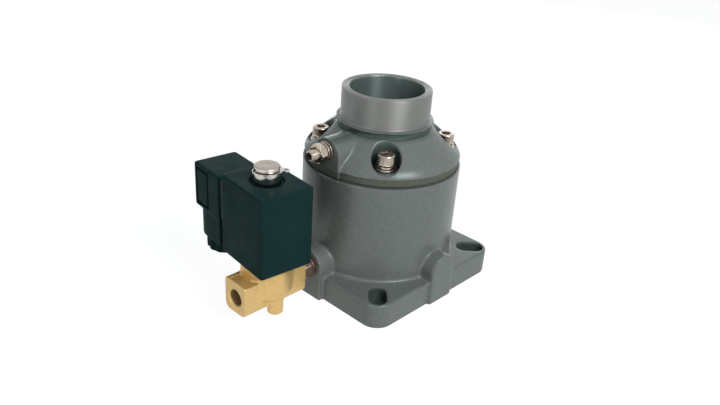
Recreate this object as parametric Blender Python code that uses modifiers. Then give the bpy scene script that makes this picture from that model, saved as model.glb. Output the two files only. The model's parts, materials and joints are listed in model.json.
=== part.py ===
"""Air intake valve of a screw compressor: a cast flanged body with a conical cover and a
pipe neck, a spring-loaded valve plate on a servo piston inside, and a brass pilot solenoid
valve with its coil and cable plug screwed into the side of the body.

All sizes are in metres. +Z runs up the bore, and the origin is the centre of the mounting face.
"""
import math

import bmesh
import bpy
from mathutils import Matrix, Vector

# Clearances
SEAT_GAP = 0.0003
RUNNING_GAP = 0.0003

# Overlaps: how far a cutter runs past the surface that it opens, how far a joined shape
# is sunk so that no two faces lie in one plane, and the sizes of broken edges
CUT_PAST = 0.001
SINK = 0.0002
FINE_CHAMFER = 0.0004
CHAMFER = 0.0006
BROAD_CHAMFER = 0.001

# Mounting flange
FLANGE_SIDE = 0.110
FLANGE_THICKNESS = 0.0155
FLANGE_CORNER_RADIUS = 0.011
FLANGE_EDGE_RADIUS = 0.0012
SLOT_WIDTH = 0.0105
SLOT_LENGTH = 0.0175
SLOT_CENTRE_RADIUS = 0.0625
FLANGE_SEAL_RADIUS = 0.0361
FLANGE_SEAL_SECTION = 0.0012

# Chamber of the body
BODY_RADIUS = 0.0483
BODY_HEIGHT = 0.0765
BODY_WALL = 0.0058
BODY_FOOT_FILLET = 0.003
BARREL_FOOT = 0.004
OUTLET_RADIUS = 0.032
OUTLET_LAND = 0.008
CHAMBER_FLOOR = 0.018

# Servo cylinder, its ribs and its bosses
HUB_RADIUS = 0.0165
HUB_HEIGHT = 0.052
SERVO_RADIUS = 0.0121
SERVO_FLOOR = 0.014
RIB_WIDTH = 0.009
RIB_BASE = 0.003
SPRING_SEAT_HEIGHT = 0.030
SPRING_SEAT_RADIUS = 0.023
SPRING_SEAT_THICKNESS = 0.003
SPRING_SEAT_TAPER = 0.004
BOSS_HALF_WIDTH = 0.0102
PORT_HEIGHT = 0.0208
PORT_BOSS_PROUD = 0.0033
BLIND_BOSS_PROUD = 0.002
BOSS_ROOT = 0.003
PORT_DEPTH = 0.014
PASSAGE_RADIUS = 0.0016

# Cover screws and washers
SCREW_CIRCLE_RADIUS = 0.038
SCREW_RADIUS = 0.003
SCREW_LENGTH = 0.022
SCREW_HOLE_SPARE = 0.002
SCREW_HEAD_RADIUS = 0.005
SCREW_HEAD_HEIGHT = 0.006
SOCKET_FLATS = 0.005
SOCKET_DEPTH = 0.0032
SPRING_WASHER_RADIUS = 0.0054
SPRING_WASHER_THICKNESS = 0.0014
SPRING_WASHER_SLIT = 0.0009
FLAT_WASHER_RADIUS = 0.006
FLAT_WASHER_THICKNESS = 0.0012
BODY_SCREW_BOSS_RADIUS = 0.0065
BODY_SCREW_BOSS_LENGTH = 0.027
BODY_SCREW_BOSS_TAPER = 0.004
COVER_SCREW_BOSS_RADIUS = 0.0106
POCKET_RADIUS = 0.0084
POCKET_FLOOR_RISE = 0.0068

# Cover
GASKET_THICKNESS = 0.0006
BAND_HEIGHT = 0.004
BAND_STEP = 0.0008
SHOULDER_RISE = 0.0058
SHOULDER_FILLET = 0.0034
FACING_ALLOWANCE = 0.001
COLLAR_RISE = 0.0216
COLLAR_RADIUS = 0.0295
COLLAR_HEIGHT = 0.0036
NECK_RADIUS = 0.027
NECK_WALL = 0.0046
NECK_HEIGHT = 0.0181
COVER_WALL = 0.0048
SEAT_RISE = 0.0103
SEAT_LAND_WIDTH = 0.0041
SEAT_RIM_HEIGHT = 0.005

# Bleed screw boss on the cover
BLEED_BOSS_HALF_WIDTH = 0.010
BLEED_BOSS_RISE = 0.0118
BLEED_AXIS_RISE = 0.0143
BLEED_FACE_REACH = 0.0475
BLEED_SCREW_REACH = 0.0608
BLEED_OPENING = 0.0015
BLEED_CONE_LENGTH = 0.003
BLEED_ORIFICE_RADIUS = 0.0015
BLEED_SOCKET_FLATS = 0.003
BLEED_SOCKET_DEPTH = 0.004
NUT_FLATS = 0.010
NUT_THICKNESS = 0.005

# Valve plate, servo piston and return spring
VALVE_STROKE = 0.012
STOP_GAP = 0.0005
PLATE_RADIUS = 0.0258
PLATE_THICKNESS = 0.0035
PLATE_BOSS_RADIUS = 0.009
PLATE_CENTRE_RISE = 0.0036
PLATE_CONE_HEIGHT = 0.009
PLATE_FLAT_MARGIN = 0.002
SEAL_THICKNESS = 0.002
SEAL_WIDTH = 0.006
SEAL_LAND_SHARE = 0.75
ROD_RADIUS = 0.004
ROD_SHOULDER_RADIUS = 0.0065
ROD_END_PROUD = 0.0012
PISTON_HEIGHT = 0.009
PISTON_DEPTH = 0.006
PISTON_SEAL_HEIGHT = 0.0018
PISTON_SEAL_DEPTH = 0.0013
PLATE_WASHER_RADIUS = 0.008
PLATE_WASHER_THICKNESS = 0.0012
PLATE_NUT_FLATS = 0.013
PLATE_NUT_THICKNESS = 0.005
SPRING_RADIUS = 0.0195
SPRING_WIRE_RADIUS = 0.0011
SPRING_TURNS = 6
SPRING_GUIDE_GAP = 0.002

# Hex nipple between the body and the solenoid valve
NIPPLE_HEX_LENGTH = 0.0065
NIPPLE_FLATS = 0.014
NIPPLE_THREAD_RADIUS = 0.0046
NIPPLE_THREAD_LENGTH = 0.0085
NIPPLE_BORE_RADIUS = 0.0025
SEAL_WASHER_RADIUS = 0.007
SEAL_WASHER_THICKNESS = 0.0012

# Brass body of the solenoid valve
BRASS_HALF_LENGTH = 0.022
BRASS_HALF_WIDTH = 0.009
BRASS_TOP_RISE = 0.0097
BRASS_DROP = 0.0096
BRASS_CORNER_RADIUS = 0.0035
BRASS_ARM_LENGTH = 0.0115
BRASS_BARREL_RADIUS = 0.0145
BRASS_BARREL_DROP = 0.001
BRASS_BARREL_TAPER = 0.002
BRASS_EDGE_CHAMFER = 0.0005
BRASS_WAIST_RADIUS = 0.011
BRASS_WAIST_DROP = 0.0076
BRASS_FOOT_RADIUS = 0.0039
BRASS_FOOT_SPACING = 0.016
BRASS_FOOT_DROP = 0.0153
BRASS_FOOT_ROOT = 0.003
BRASS_NECK_RISE = 0.0166
PILOT_PORT_DEPTH = 0.010
PILOT_CHAMBER_RADIUS = 0.0063
PILOT_FLOOR_RISE = 0.0017
NOZZLE_RADIUS = 0.0022
NOZZLE_RISE = 0.0034
NOZZLE_TAPER = 0.8
ORIFICE_RADIUS = 0.001
PILOT_PASSAGE_RADIUS = 0.0012
PILOT_PASSAGE_WALL = 0.001

# Armature tube, fixed core and plunger
TUBE_RADIUS = 0.007
TUBE_BORE_RADIUS = 0.006
TUBE_SEAT_RISE = 0.0028
TUBE_END_DROP = 0.001
TUBE_COLLAR_RADIUS = 0.0092
TUBE_COLLAR_HEIGHT = 0.008
TUBE_SEAL_SECTION = 0.0007
TUBE_SEAL_OFFSET = 0.0002
PLUNGER_LENGTH = 0.0297
PLUNGER_STROKE = 0.0016
PLUNGER_AIR_GAP = 0.002
PLUNGER_SEAL_RADIUS = 0.0026
PLUNGER_SEAL_THICKNESS = 0.002
PLUNGER_SEAL_PROUD = 0.0008
PLUNGER_POCKET_DEPTH = 0.012
PLUNGER_SPRING_RADIUS = 0.0024
PLUNGER_SPRING_WIRE_RADIUS = 0.00035
PLUNGER_SPRING_TURNS = 5
CORE_NECK_RADIUS = 0.005
CORE_HEAD_RADIUS = 0.007
CORE_HEAD_HEIGHT = 0.0023
CORE_SHOULDER_DROP = 0.001

# Coil, its retaining sleeve and its clip
COIL_HALF_DEPTH = 0.0164
COIL_HALF_WIDTH = 0.0198
COIL_HEIGHT = 0.0471
COIL_EDGE_RADIUS = 0.0018
COIL_TURN = math.radians(-5.6)
COIL_SEAL_RADIUS = 0.012
COIL_SEAL_THICKNESS = 0.0009
COIL_RECESS_RADIUS = 0.0096
COIL_RECESS_DEPTH = 0.0016
SLEEVE_RADIUS = 0.0078
SLEEVE_HEIGHT = 0.0067
CLIP_RADIUS = 0.0085
CLIP_THICKNESS = 0.0008
CLIP_TAB_REACH = 0.0118
CLIP_TAB_RADIUS = 0.0019
CLIP_TAB_HOLE_RADIUS = 0.0009
CLIP_TURN = math.radians(-35)

# Cable plug on the coil
SOCKET_BASE_HALF_WIDTH = 0.012
SOCKET_BASE_HEIGHT = 0.024
SOCKET_BASE_REACH = 0.0052
SOCKET_BASE_ROOT = 0.002
PLUG_CENTRE_RISE = 0.0277
PLUG_GASKET_THICKNESS = 0.0014
PLUG_GASKET_MARGIN = 0.0006
PLUG_GASKET_WIDTH = 0.0016
RIM_CORNER = 0.001
WINDOW_CORNER = 0.0006
PLUG_HALF_WIDTH = 0.0138
PLUG_HEIGHT = 0.0273
PLUG_DEPTH = 0.0275
PLUG_WALL = 0.0024
PLUG_FRONT_WALL = 0.006
PLUG_EDGE_RADIUS = 0.0014
PANEL_MARGIN = 0.0022
PANEL_GROOVE = 0.0016
PANEL_LENGTH = 0.0135
PANEL_DEPTH = 0.0008
GLAND_AXIS_DEPTH = 0.0155
GLAND_NECK_REACH = 0.026
GLAND_NECK_HEIGHT = 0.017
GLAND_NECK_CORNER = 0.009
GLAND_NECK_INSET = 0.0003
GLAND_NECK_ROOT = 0.004
GLAND_STUB_RADIUS = 0.008
GLAND_STUB_HEIGHT = 0.005
GLAND_BORE_RADIUS = 0.006
GLAND_NUT_RADIUS = 0.0118
GLAND_NUT_HEIGHT = 0.0092
GLAND_NUT_HOLE_RADIUS = 0.0052
GLAND_RIB_DEPTH = 0.0007
GLAND_RIB_COUNT = 12
GLAND_RIB_SHARE = 0.45
GLAND_SEAL_THICKNESS = 0.0019
GLAND_SEAL_HOLE_RADIUS = 0.0037
INSERT_DEPTH = 0.017
INSERT_INSET = 0.001
BLADE_WIDTH = 0.006
BLADE_THICKNESS = 0.0008
BLADE_LENGTH = 0.011
BLADE_SPREAD = 0.008
PLUG_SCREW_RADIUS = 0.0015
PLUG_SCREW_HEAD_RADIUS = 0.003
PLUG_SCREW_HEAD_HEIGHT = 0.0024
PLUG_SCREW_SLOT_WIDTH = 0.0008
PLUG_SCREW_SLOT_DEPTH = 0.001
PLUG_SCREW_GRIP = 0.004

# Facet counts of round pieces
LARGE_STEPS = 36
GLAND_STEPS = 24
MEDIUM_STEPS = 20
SMALL_STEPS = 12
PASSAGE_STEPS = 10
FILLET_STEPS = 2

# Heights that follow from the sizes above
CHAMBER_RADIUS = BODY_RADIUS - BODY_WALL
PORT_BOSS_REACH = FLANGE_SIDE / 2 + PORT_BOSS_PROUD
BLIND_BOSS_REACH = FLANGE_SIDE / 2 + BLIND_BOSS_PROUD
COVER_BASE = BODY_HEIGHT + SEAT_GAP + GASKET_THICKNESS + SEAT_GAP
NECK_BORE_RADIUS = NECK_RADIUS - NECK_WALL
COLLAR_BASE = COVER_BASE + COLLAR_RISE
COLLAR_TOP = COLLAR_BASE + COLLAR_HEIGHT
NECK_TOP = COLLAR_TOP + NECK_HEIGHT
VALVE_SEAT = COVER_BASE + SEAT_RISE
SEAT_LAND_RADIUS = NECK_BORE_RADIUS + SEAT_LAND_WIDTH
POCKET_FLOOR = COVER_BASE + POCKET_FLOOR_RISE
SCREW_HOLE_RADIUS = SCREW_RADIUS + SEAT_GAP
FLAT_WASHER_BASE = POCKET_FLOOR + SEAT_GAP
SPRING_WASHER_BASE = FLAT_WASHER_BASE + FLAT_WASHER_THICKNESS + SEAT_GAP
SCREW_SEAT = SPRING_WASHER_BASE + SPRING_WASHER_THICKNESS + SEAT_GAP
SCREW_TIP = SCREW_SEAT - SCREW_LENGTH
DIAGONALS = [math.radians(angle) for angle in (45, 135, 225, 315)]
SLOT_CENTRES = [(SLOT_CENTRE_RADIUS * math.cos(angle), SLOT_CENTRE_RADIUS * math.sin(angle))
                for angle in DIAGONALS]
SCREW_CENTRES = [(SCREW_CIRCLE_RADIUS * math.cos(angle), SCREW_CIRCLE_RADIUS * math.sin(angle))
                 for angle in DIAGONALS]

SEAL_TOP = VALVE_SEAT - SEAT_GAP
PLATE_RIM_TOP = SEAL_TOP - SEAL_THICKNESS - SEAT_GAP
PLATE_UNDERSIDE = PLATE_RIM_TOP - PLATE_THICKNESS
PLATE_CENTRE_TOP = PLATE_RIM_TOP + PLATE_CENTRE_RISE
PLATE_BOSS_BASE = HUB_HEIGHT + VALVE_STROKE + STOP_GAP
PISTON_TOP = HUB_HEIGHT - PISTON_DEPTH
PISTON_BASE = PISTON_TOP - PISTON_HEIGHT
PISTON_RADIUS = SERVO_RADIUS - RUNNING_GAP
PLATE_NUT_BASE = PLATE_CENTRE_TOP + SEAT_GAP + PLATE_WASHER_THICKNESS + SEAT_GAP
ROD_TOP = PLATE_NUT_BASE + PLATE_NUT_THICKNESS + ROD_END_PROUD
BLEED_AXIS = COVER_BASE + BLEED_AXIS_RISE
BLEED_SEAT = SEAT_LAND_RADIUS + SEAT_GAP
BLEED_SCREW_TIP = BLEED_SEAT + BLEED_OPENING

NIPPLE_START = PORT_BOSS_REACH + SEAT_GAP + SEAL_WASHER_THICKNESS + SEAT_GAP
NIPPLE_END = NIPPLE_START + NIPPLE_HEX_LENGTH
BRASS_FACE = NIPPLE_END + SEAT_GAP + SEAL_WASHER_THICKNESS + SEAT_GAP
SOLENOID_X = -(BRASS_FACE + BRASS_HALF_LENGTH)
BRASS_TOP = PORT_HEIGHT + BRASS_NECK_RISE
NOZZLE_TOP = PORT_HEIGHT + NOZZLE_RISE
TUBE_SEAT = NOZZLE_TOP + TUBE_SEAT_RISE
TUBE_BASE = TUBE_SEAT + 2 * SEAT_GAP + 2 * TUBE_SEAL_SECTION
PLUNGER_BASE = NOZZLE_TOP + SEAT_GAP + PLUNGER_SEAL_PROUD
PLUNGER_TOP = PLUNGER_BASE + PLUNGER_LENGTH
CORE_BASE = PLUNGER_TOP + PLUNGER_AIR_GAP
COIL_BASE = BRASS_TOP + SEAT_GAP + COIL_SEAL_THICKNESS + SEAT_GAP
COIL_TOP = COIL_BASE + COIL_HEIGHT
SLEEVE_BASE = COIL_TOP - COIL_RECESS_DEPTH + SEAT_GAP
SLEEVE_TOP = SLEEVE_BASE + SLEEVE_HEIGHT
TUBE_TOP = SLEEVE_TOP - TUBE_END_DROP
CLIP_BASE = SLEEVE_TOP + SEAT_GAP
CORE_HEAD_BASE = CLIP_BASE + CLIP_THICKNESS + SEAT_GAP
CORE_TOP = CORE_HEAD_BASE + CORE_HEAD_HEIGHT

PLUG_CENTRE = COIL_BASE + PLUG_CENTRE_RISE
SOCKET_FACE = COIL_HALF_WIDTH + SOCKET_BASE_REACH
PLUG_GASKET_FACE = SOCKET_FACE + SEAT_GAP + PLUG_GASKET_THICKNESS
PLUG_BACK = PLUG_GASKET_FACE + SEAT_GAP
PLUG_FRONT = PLUG_BACK + PLUG_DEPTH
PLUG_LOW = PLUG_CENTRE - PLUG_HEIGHT / 2
PLUG_HIGH = PLUG_CENTRE + PLUG_HEIGHT / 2
PLUG_CAVITY_DEPTH = PLUG_DEPTH - PLUG_FRONT_WALL
GLAND_Y = PLUG_BACK + GLAND_AXIS_DEPTH
GLAND_NECK_BASE = PLUG_LOW - GLAND_NECK_HEIGHT
GLAND_STUB_BASE = GLAND_NECK_BASE - GLAND_STUB_HEIGHT
GLAND_NUT_TOP = GLAND_NECK_BASE - SEAT_GAP
GLAND_NUT_BASE = GLAND_NUT_TOP - GLAND_NUT_HEIGHT
GLAND_SEAL_TOP = GLAND_STUB_BASE - SEAT_GAP
GLAND_SEAL_BASE = GLAND_SEAL_TOP - GLAND_SEAL_THICKNESS

for old in list(bpy.data.objects):
    bpy.data.objects.remove(old, do_unlink=True)


def new_collection(name):
    """Collection of that name under the scene."""
    collection = bpy.data.collections.new(name)
    bpy.context.scene.collection.children.link(collection)
    return collection


PARTS = new_collection("air_intake_valve")
TOOLS = new_collection("cutting_tools")


def new_material(name, colour, roughness, metallic):
    """Principled material with one colour."""
    material = bpy.data.materials.new(name)
    material.use_nodes = True
    shader = material.node_tree.nodes["Principled BSDF"]
    shader.inputs["Base Color"].default_value = (*colour, 1.0)
    shader.inputs["Roughness"].default_value = roughness
    shader.inputs["Metallic"].default_value = metallic
    material.diffuse_color = (*colour, 1.0)
    return material


CASTING = new_material("grey_casting", (0.15, 0.165, 0.165), 0.45, 0.6)
MACHINED = new_material("machined_aluminium", (0.35, 0.36, 0.36), 0.3, 0.9)
STEEL = new_material("nickel_plated_steel", (0.48, 0.43, 0.38), 0.25, 1.0)
CHROME = new_material("bright_plating", (0.62, 0.58, 0.55), 0.12, 1.0)
BRASS = new_material("forged_brass", (0.62, 0.45, 0.18), 0.35, 0.9)
COPPER = new_material("copper_washer", (0.55, 0.28, 0.16), 0.4, 1.0)
PLASTIC = new_material("black_plastic", (0.012, 0.03, 0.032), 0.5, 0.0)
RUBBER = new_material("black_rubber", (0.02, 0.02, 0.02), 0.8, 0.0)
FIBRE = new_material("fibre_gasket", (0.05, 0.055, 0.05), 0.85, 0.0)


def add_empty(name, location=(0, 0, 0), turn=0.0, parent=None):
    """Empty that carries a group of pieces, turned about Z."""
    empty = bpy.data.objects.new(name, None)
    PARTS.objects.link(empty)
    empty.parent = parent
    empty.location = location
    empty.rotation_euler = (0, 0, turn)
    return empty


def add_piece(name, mesh, material=None, parent=None, location=(0, 0, 0)):
    """Object of the part if it has a material, and otherwise a tool that cuts or joins."""
    piece = bpy.data.objects.new(name, mesh)
    piece.parent = parent
    piece.location = location
    mesh.shade_smooth()
    mesh.set_sharp_from_angle(angle=math.radians(40))
    if material is None:
        TOOLS.objects.link(piece)
        piece.hide_render = True
        piece.display_type = "WIRE"
    else:
        PARTS.objects.link(piece)
        mesh.materials.append(material)
    return piece


def mesh_from_object(source):
    """Welded mesh of an object as its modifiers leave it; the object is removed."""
    bpy.context.scene.collection.objects.link(source)
    depsgraph = bpy.context.evaluated_depsgraph_get()
    mesh = bpy.data.meshes.new_from_object(source.evaluated_get(depsgraph))
    mesh.transform(source.matrix_world)
    bpy.data.objects.remove(source, do_unlink=True)
    work = bmesh.new()
    work.from_mesh(mesh)
    bmesh.ops.remove_doubles(work, verts=work.verts, dist=0.000001)
    bmesh.ops.recalc_face_normals(work, faces=work.faces)
    work.to_mesh(mesh)
    work.free()
    return mesh


def mesh_from_bmesh(work):
    """Mesh made from a bmesh, which is freed."""
    mesh = bpy.data.meshes.new("shape")
    work.to_mesh(mesh)
    work.free()
    return mesh


def turned(profile, steps, between=False):
    """Mesh turned about Z; the profile of (radius, z) runs down its outer side, top to bottom.

    A profile that starts and ends on the axis is a solid, and any other closes into a ring.
    A cutter has its edges between those of the piece that it cuts.
    """
    count = len(profile)
    edges = [(i, i + 1) for i in range(count - 1)]
    if profile[0][0] > 0.0:
        edges.append((count - 1, 0))
    mesh = bpy.data.meshes.new("profile")
    mesh.from_pydata([(radius, 0.0, z) for radius, z in profile], edges, [])
    source = bpy.data.objects.new("profile", mesh)
    screw = source.modifiers.new("Screw", "SCREW")
    screw.axis = "Z"
    screw.steps = steps
    screw.render_steps = steps
    screw.use_merge_vertices = True
    screw.merge_threshold = 0.00001
    turned_mesh = mesh_from_object(source)
    if between:
        turned_mesh.transform(Matrix.Rotation(math.pi / steps, 4, "Z"))
    return turned_mesh


def extruded(outlines, low, high):
    """Mesh between two heights; the first outline is the rim and the others are holes."""
    curve = bpy.data.curves.new("outline", "CURVE")
    curve.dimensions = "2D"
    curve.fill_mode = "BOTH"
    curve.extrude = (high - low) / 2
    for outline in outlines:
        spline = curve.splines.new("POLY")
        spline.points.add(len(outline) - 1)
        for point, (x, y) in zip(spline.points, outline):
            point.co = (x, y, 0.0, 1.0)
        spline.use_cyclic_u = True
    mesh = mesh_from_object(bpy.data.objects.new("outline", curve))
    mesh.transform(Matrix.Translation((0, 0, (low + high) / 2)))
    return mesh


def block(low, high):
    """Box mesh between two corners."""
    low = Vector(low)
    high = Vector(high)
    work = bmesh.new()
    bmesh.ops.create_cube(work, size=1.0)
    bmesh.ops.scale(work, vec=high - low, verts=work.verts)
    bmesh.ops.translate(work, vec=(low + high) / 2, verts=work.verts)
    return mesh_from_bmesh(work)


def pins(ends, radius, steps):
    """Mesh of separate round pins, each from one point to another."""
    work = bmesh.new()
    for start, stop in ends:
        along = Vector(stop) - Vector(start)
        place = Matrix.Translation((Vector(start) + Vector(stop)) / 2)
        place = place @ along.to_track_quat("Z", "Y").to_matrix().to_4x4()
        bmesh.ops.create_cone(work, cap_ends=True, segments=steps, radius1=radius,
                              radius2=radius, depth=along.length, matrix=place)
    return mesh_from_bmesh(work)


def wire_mesh(points, radius):
    """Round wire with closed ends along the points."""
    curve = bpy.data.curves.new("wire", "CURVE")
    curve.dimensions = "3D"
    curve.bevel_depth = radius
    curve.bevel_resolution = 2
    curve.use_fill_caps = True
    spline = curve.splines.new("POLY")
    spline.points.add(len(points) - 1)
    for point, place in zip(spline.points, points):
        point.co = (*place, 1.0)
    return mesh_from_object(bpy.data.objects.new("wire", curve))


def circle(radius, steps, centre=(0.0, 0.0), start=0.0):
    """Points round a circle."""
    angles = [start + 2 * math.pi * i / steps for i in range(steps)]
    return [(centre[0] + radius * math.cos(a), centre[1] + radius * math.sin(a)) for a in angles]


def hexagon(flats):
    """Corners of a hexagon with flats at top and bottom, from its width across flats."""
    return circle(flats / math.sqrt(3), 6)


def arc(centre, radius, start, stop, steps):
    """Points on an arc between two angles in degrees, both ends included."""
    angles = [math.radians(start + (stop - start) * i / steps) for i in range(steps + 1)]
    return [(centre[0] + radius * math.cos(a), centre[1] + radius * math.sin(a)) for a in angles]


def rounded_rectangle(low, high, radius, steps=FILLET_STEPS):
    """Outline between two corners of the plane, with round corners."""
    (x0, y0), (x1, y1) = low, high
    corners = [((x1 - radius, y1 - radius), 0), ((x0 + radius, y1 - radius), 90),
               ((x0 + radius, y0 + radius), 180), ((x1 - radius, y0 + radius), 270)]
    points = []
    for centre, angle in corners:
        points += arc(centre, radius, angle, angle + 90, steps)
    return points


def arch(half_width, base, centre, steps=10):
    """Outline of a boss: straight sides up from the base, closed by a half circle."""
    return [(-half_width, base)] + [(half_width, base)] + arc((0.0, centre), half_width, 0, 180, steps)


def softened(before, corner, after, radius, steps=FILLET_STEPS):
    """Arc that rounds the corner between two neighbours of a profile."""
    corner = Vector(corner)
    towards_before = (Vector(before) - corner).normalized()
    towards_after = (Vector(after) - corner).normalized()
    half = towards_before.angle(towards_after) / 2
    centre = corner + (towards_before + towards_after).normalized() * radius / math.sin(half)
    first = corner + towards_before * radius / math.tan(half)
    last = corner + towards_after * radius / math.tan(half)
    start = (first - centre).normalized()
    stop = (last - centre).normalized()
    span = start.angle(stop)
    points = []
    for i in range(steps + 1):
        share = i / steps
        mix = (start * math.sin((1 - share) * span) + stop * math.sin(share * span)) / math.sin(span)
        points.append(tuple(centre + mix * radius))
    return points


def facing(mesh, direction):
    """Turn an extruded mesh so that its height runs along a direction and its y stays up."""
    ahead = Vector(direction)
    up = Vector((0, 0, 1))
    side = up.cross(ahead)
    mesh.transform(Matrix((side, up, ahead)).transposed().to_4x4())
    return mesh


def lying(mesh):
    """Turn a mesh so that what ran up Z runs along -X."""
    mesh.transform(Matrix.Rotation(-math.pi / 2, 4, "Y"))
    return mesh


def shape_with(piece, tool, operation):
    """Join, cut or intersect a piece with a tool."""
    boolean = piece.modifiers.new(tool.name, "BOOLEAN")
    boolean.operation = operation
    boolean.solver = "EXACT"
    boolean.object = tool


def join(piece, name, mesh, parent=None, location=(0, 0, 0)):
    """Join a mesh to a piece."""
    shape_with(piece, add_piece(name, mesh, None, parent, location), "UNION")


def cut(piece, name, mesh, parent=None, location=(0, 0, 0)):
    """Cut a mesh out of a piece, and return the tool."""
    tool = add_piece(name, mesh, None, parent, location)
    shape_with(piece, tool, "DIFFERENCE")
    return tool


def round_edges(piece, width, segments=2, angle=60):
    """Bevel the edges that are sharper than an angle in degrees."""
    bevel = piece.modifiers.new("Bevel", "BEVEL")
    bevel.limit_method = "ANGLE"
    bevel.angle_limit = math.radians(angle)
    bevel.width = width
    bevel.segments = segments


def ring(inner, outer, low, high, steps):
    """Flat ring of rectangular section."""
    return turned([(outer, high), (outer, low), (inner, low), (inner, high)], steps)


def seal_ring(radius, section, z, steps, sides=6):
    """O-ring of a round section, turned about Z."""
    angles = [math.pi / 2 - 2 * math.pi * i / sides for i in range(sides)]
    return turned([(radius + section * math.cos(a), z + section * math.sin(a)) for a in angles], steps)


def coil_points(radius, wire, low, high, turns, points_per_turn):
    """Helix whose end turns rise by one wire, so that each end coil lies against its neighbour."""
    points = []
    lap = 2 * wire + SEAT_GAP
    pitch_room = high - low - 2 * lap
    for i in range(turns * points_per_turn + 1):
        turn = i / points_per_turn
        start = min(turn, 1.0) * lap
        middle = min(max((turn - 1) / (turns - 2), 0.0), 1.0) * pitch_room
        end = min(max(turn - (turns - 1), 0.0), 1.0) * lap
        angle = 2 * math.pi * turn
        points.append((radius * math.cos(angle), radius * math.sin(angle), low + start + middle + end))
    return points


valve_axis = add_empty("valve_axis")
valve_travel = add_empty("valve_travel", parent=valve_axis)
solenoid_axis = add_empty("solenoid_axis", (SOLENOID_X, 0, 0), parent=valve_axis)
plunger_travel = add_empty("plunger_travel", parent=solenoid_axis)
coil_frame = add_empty("coil_frame", turn=COIL_TURN, parent=solenoid_axis)


def body_core():
    """Hollow of the chamber: a turned core with the four screw bosses left standing."""
    above = BODY_HEIGHT + 5 * CUT_PAST
    core = add_piece("chamber_core", turned([
        (0.0, above), (CHAMBER_RADIUS, above), (CHAMBER_RADIUS, CHAMBER_FLOOR),
        (OUTLET_RADIUS, OUTLET_LAND), (OUTLET_RADIUS, -CUT_PAST), (0.0, -CUT_PAST)],
        LARGE_STEPS, between=True))
    boss_foot = CHAMBER_RADIUS - SCREW_CIRCLE_RADIUS + SINK
    boss_base = BODY_HEIGHT - BODY_SCREW_BOSS_LENGTH
    for number, (x, y) in enumerate(SCREW_CENTRES, 1):
        boss = turned([(0.0, above + CUT_PAST), (BODY_SCREW_BOSS_RADIUS, above + CUT_PAST),
                       (BODY_SCREW_BOSS_RADIUS, boss_base), (boss_foot, boss_base - BODY_SCREW_BOSS_TAPER),
                       (0.0, boss_base - BODY_SCREW_BOSS_TAPER)], SMALL_STEPS)
        cut(core, f"screw_boss_{number}", boss, location=(x, y, 0))
    return core


def screw_hole_mesh():
    """Four holes from the blind end in the body up through the cover."""
    low = SCREW_TIP - SCREW_HOLE_SPARE
    return pins([((x, y, low), (x, y, SCREW_SEAT)) for x, y in SCREW_CENTRES],
                SCREW_HOLE_RADIUS, SMALL_STEPS)


def obround(width, length, angle, centre, steps=5):
    """Outline of a slot with round ends, its length along an angle."""
    run = (length - width) / 2
    points = arc((run, 0.0), width / 2, -90, 90, steps) + arc((-run, 0.0), width / 2, 90, 270, steps)
    cosine, sine = math.cos(angle), math.sin(angle)
    return [(centre[0] + x * cosine - y * sine, centre[1] + x * sine + y * cosine) for x, y in points]


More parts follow.
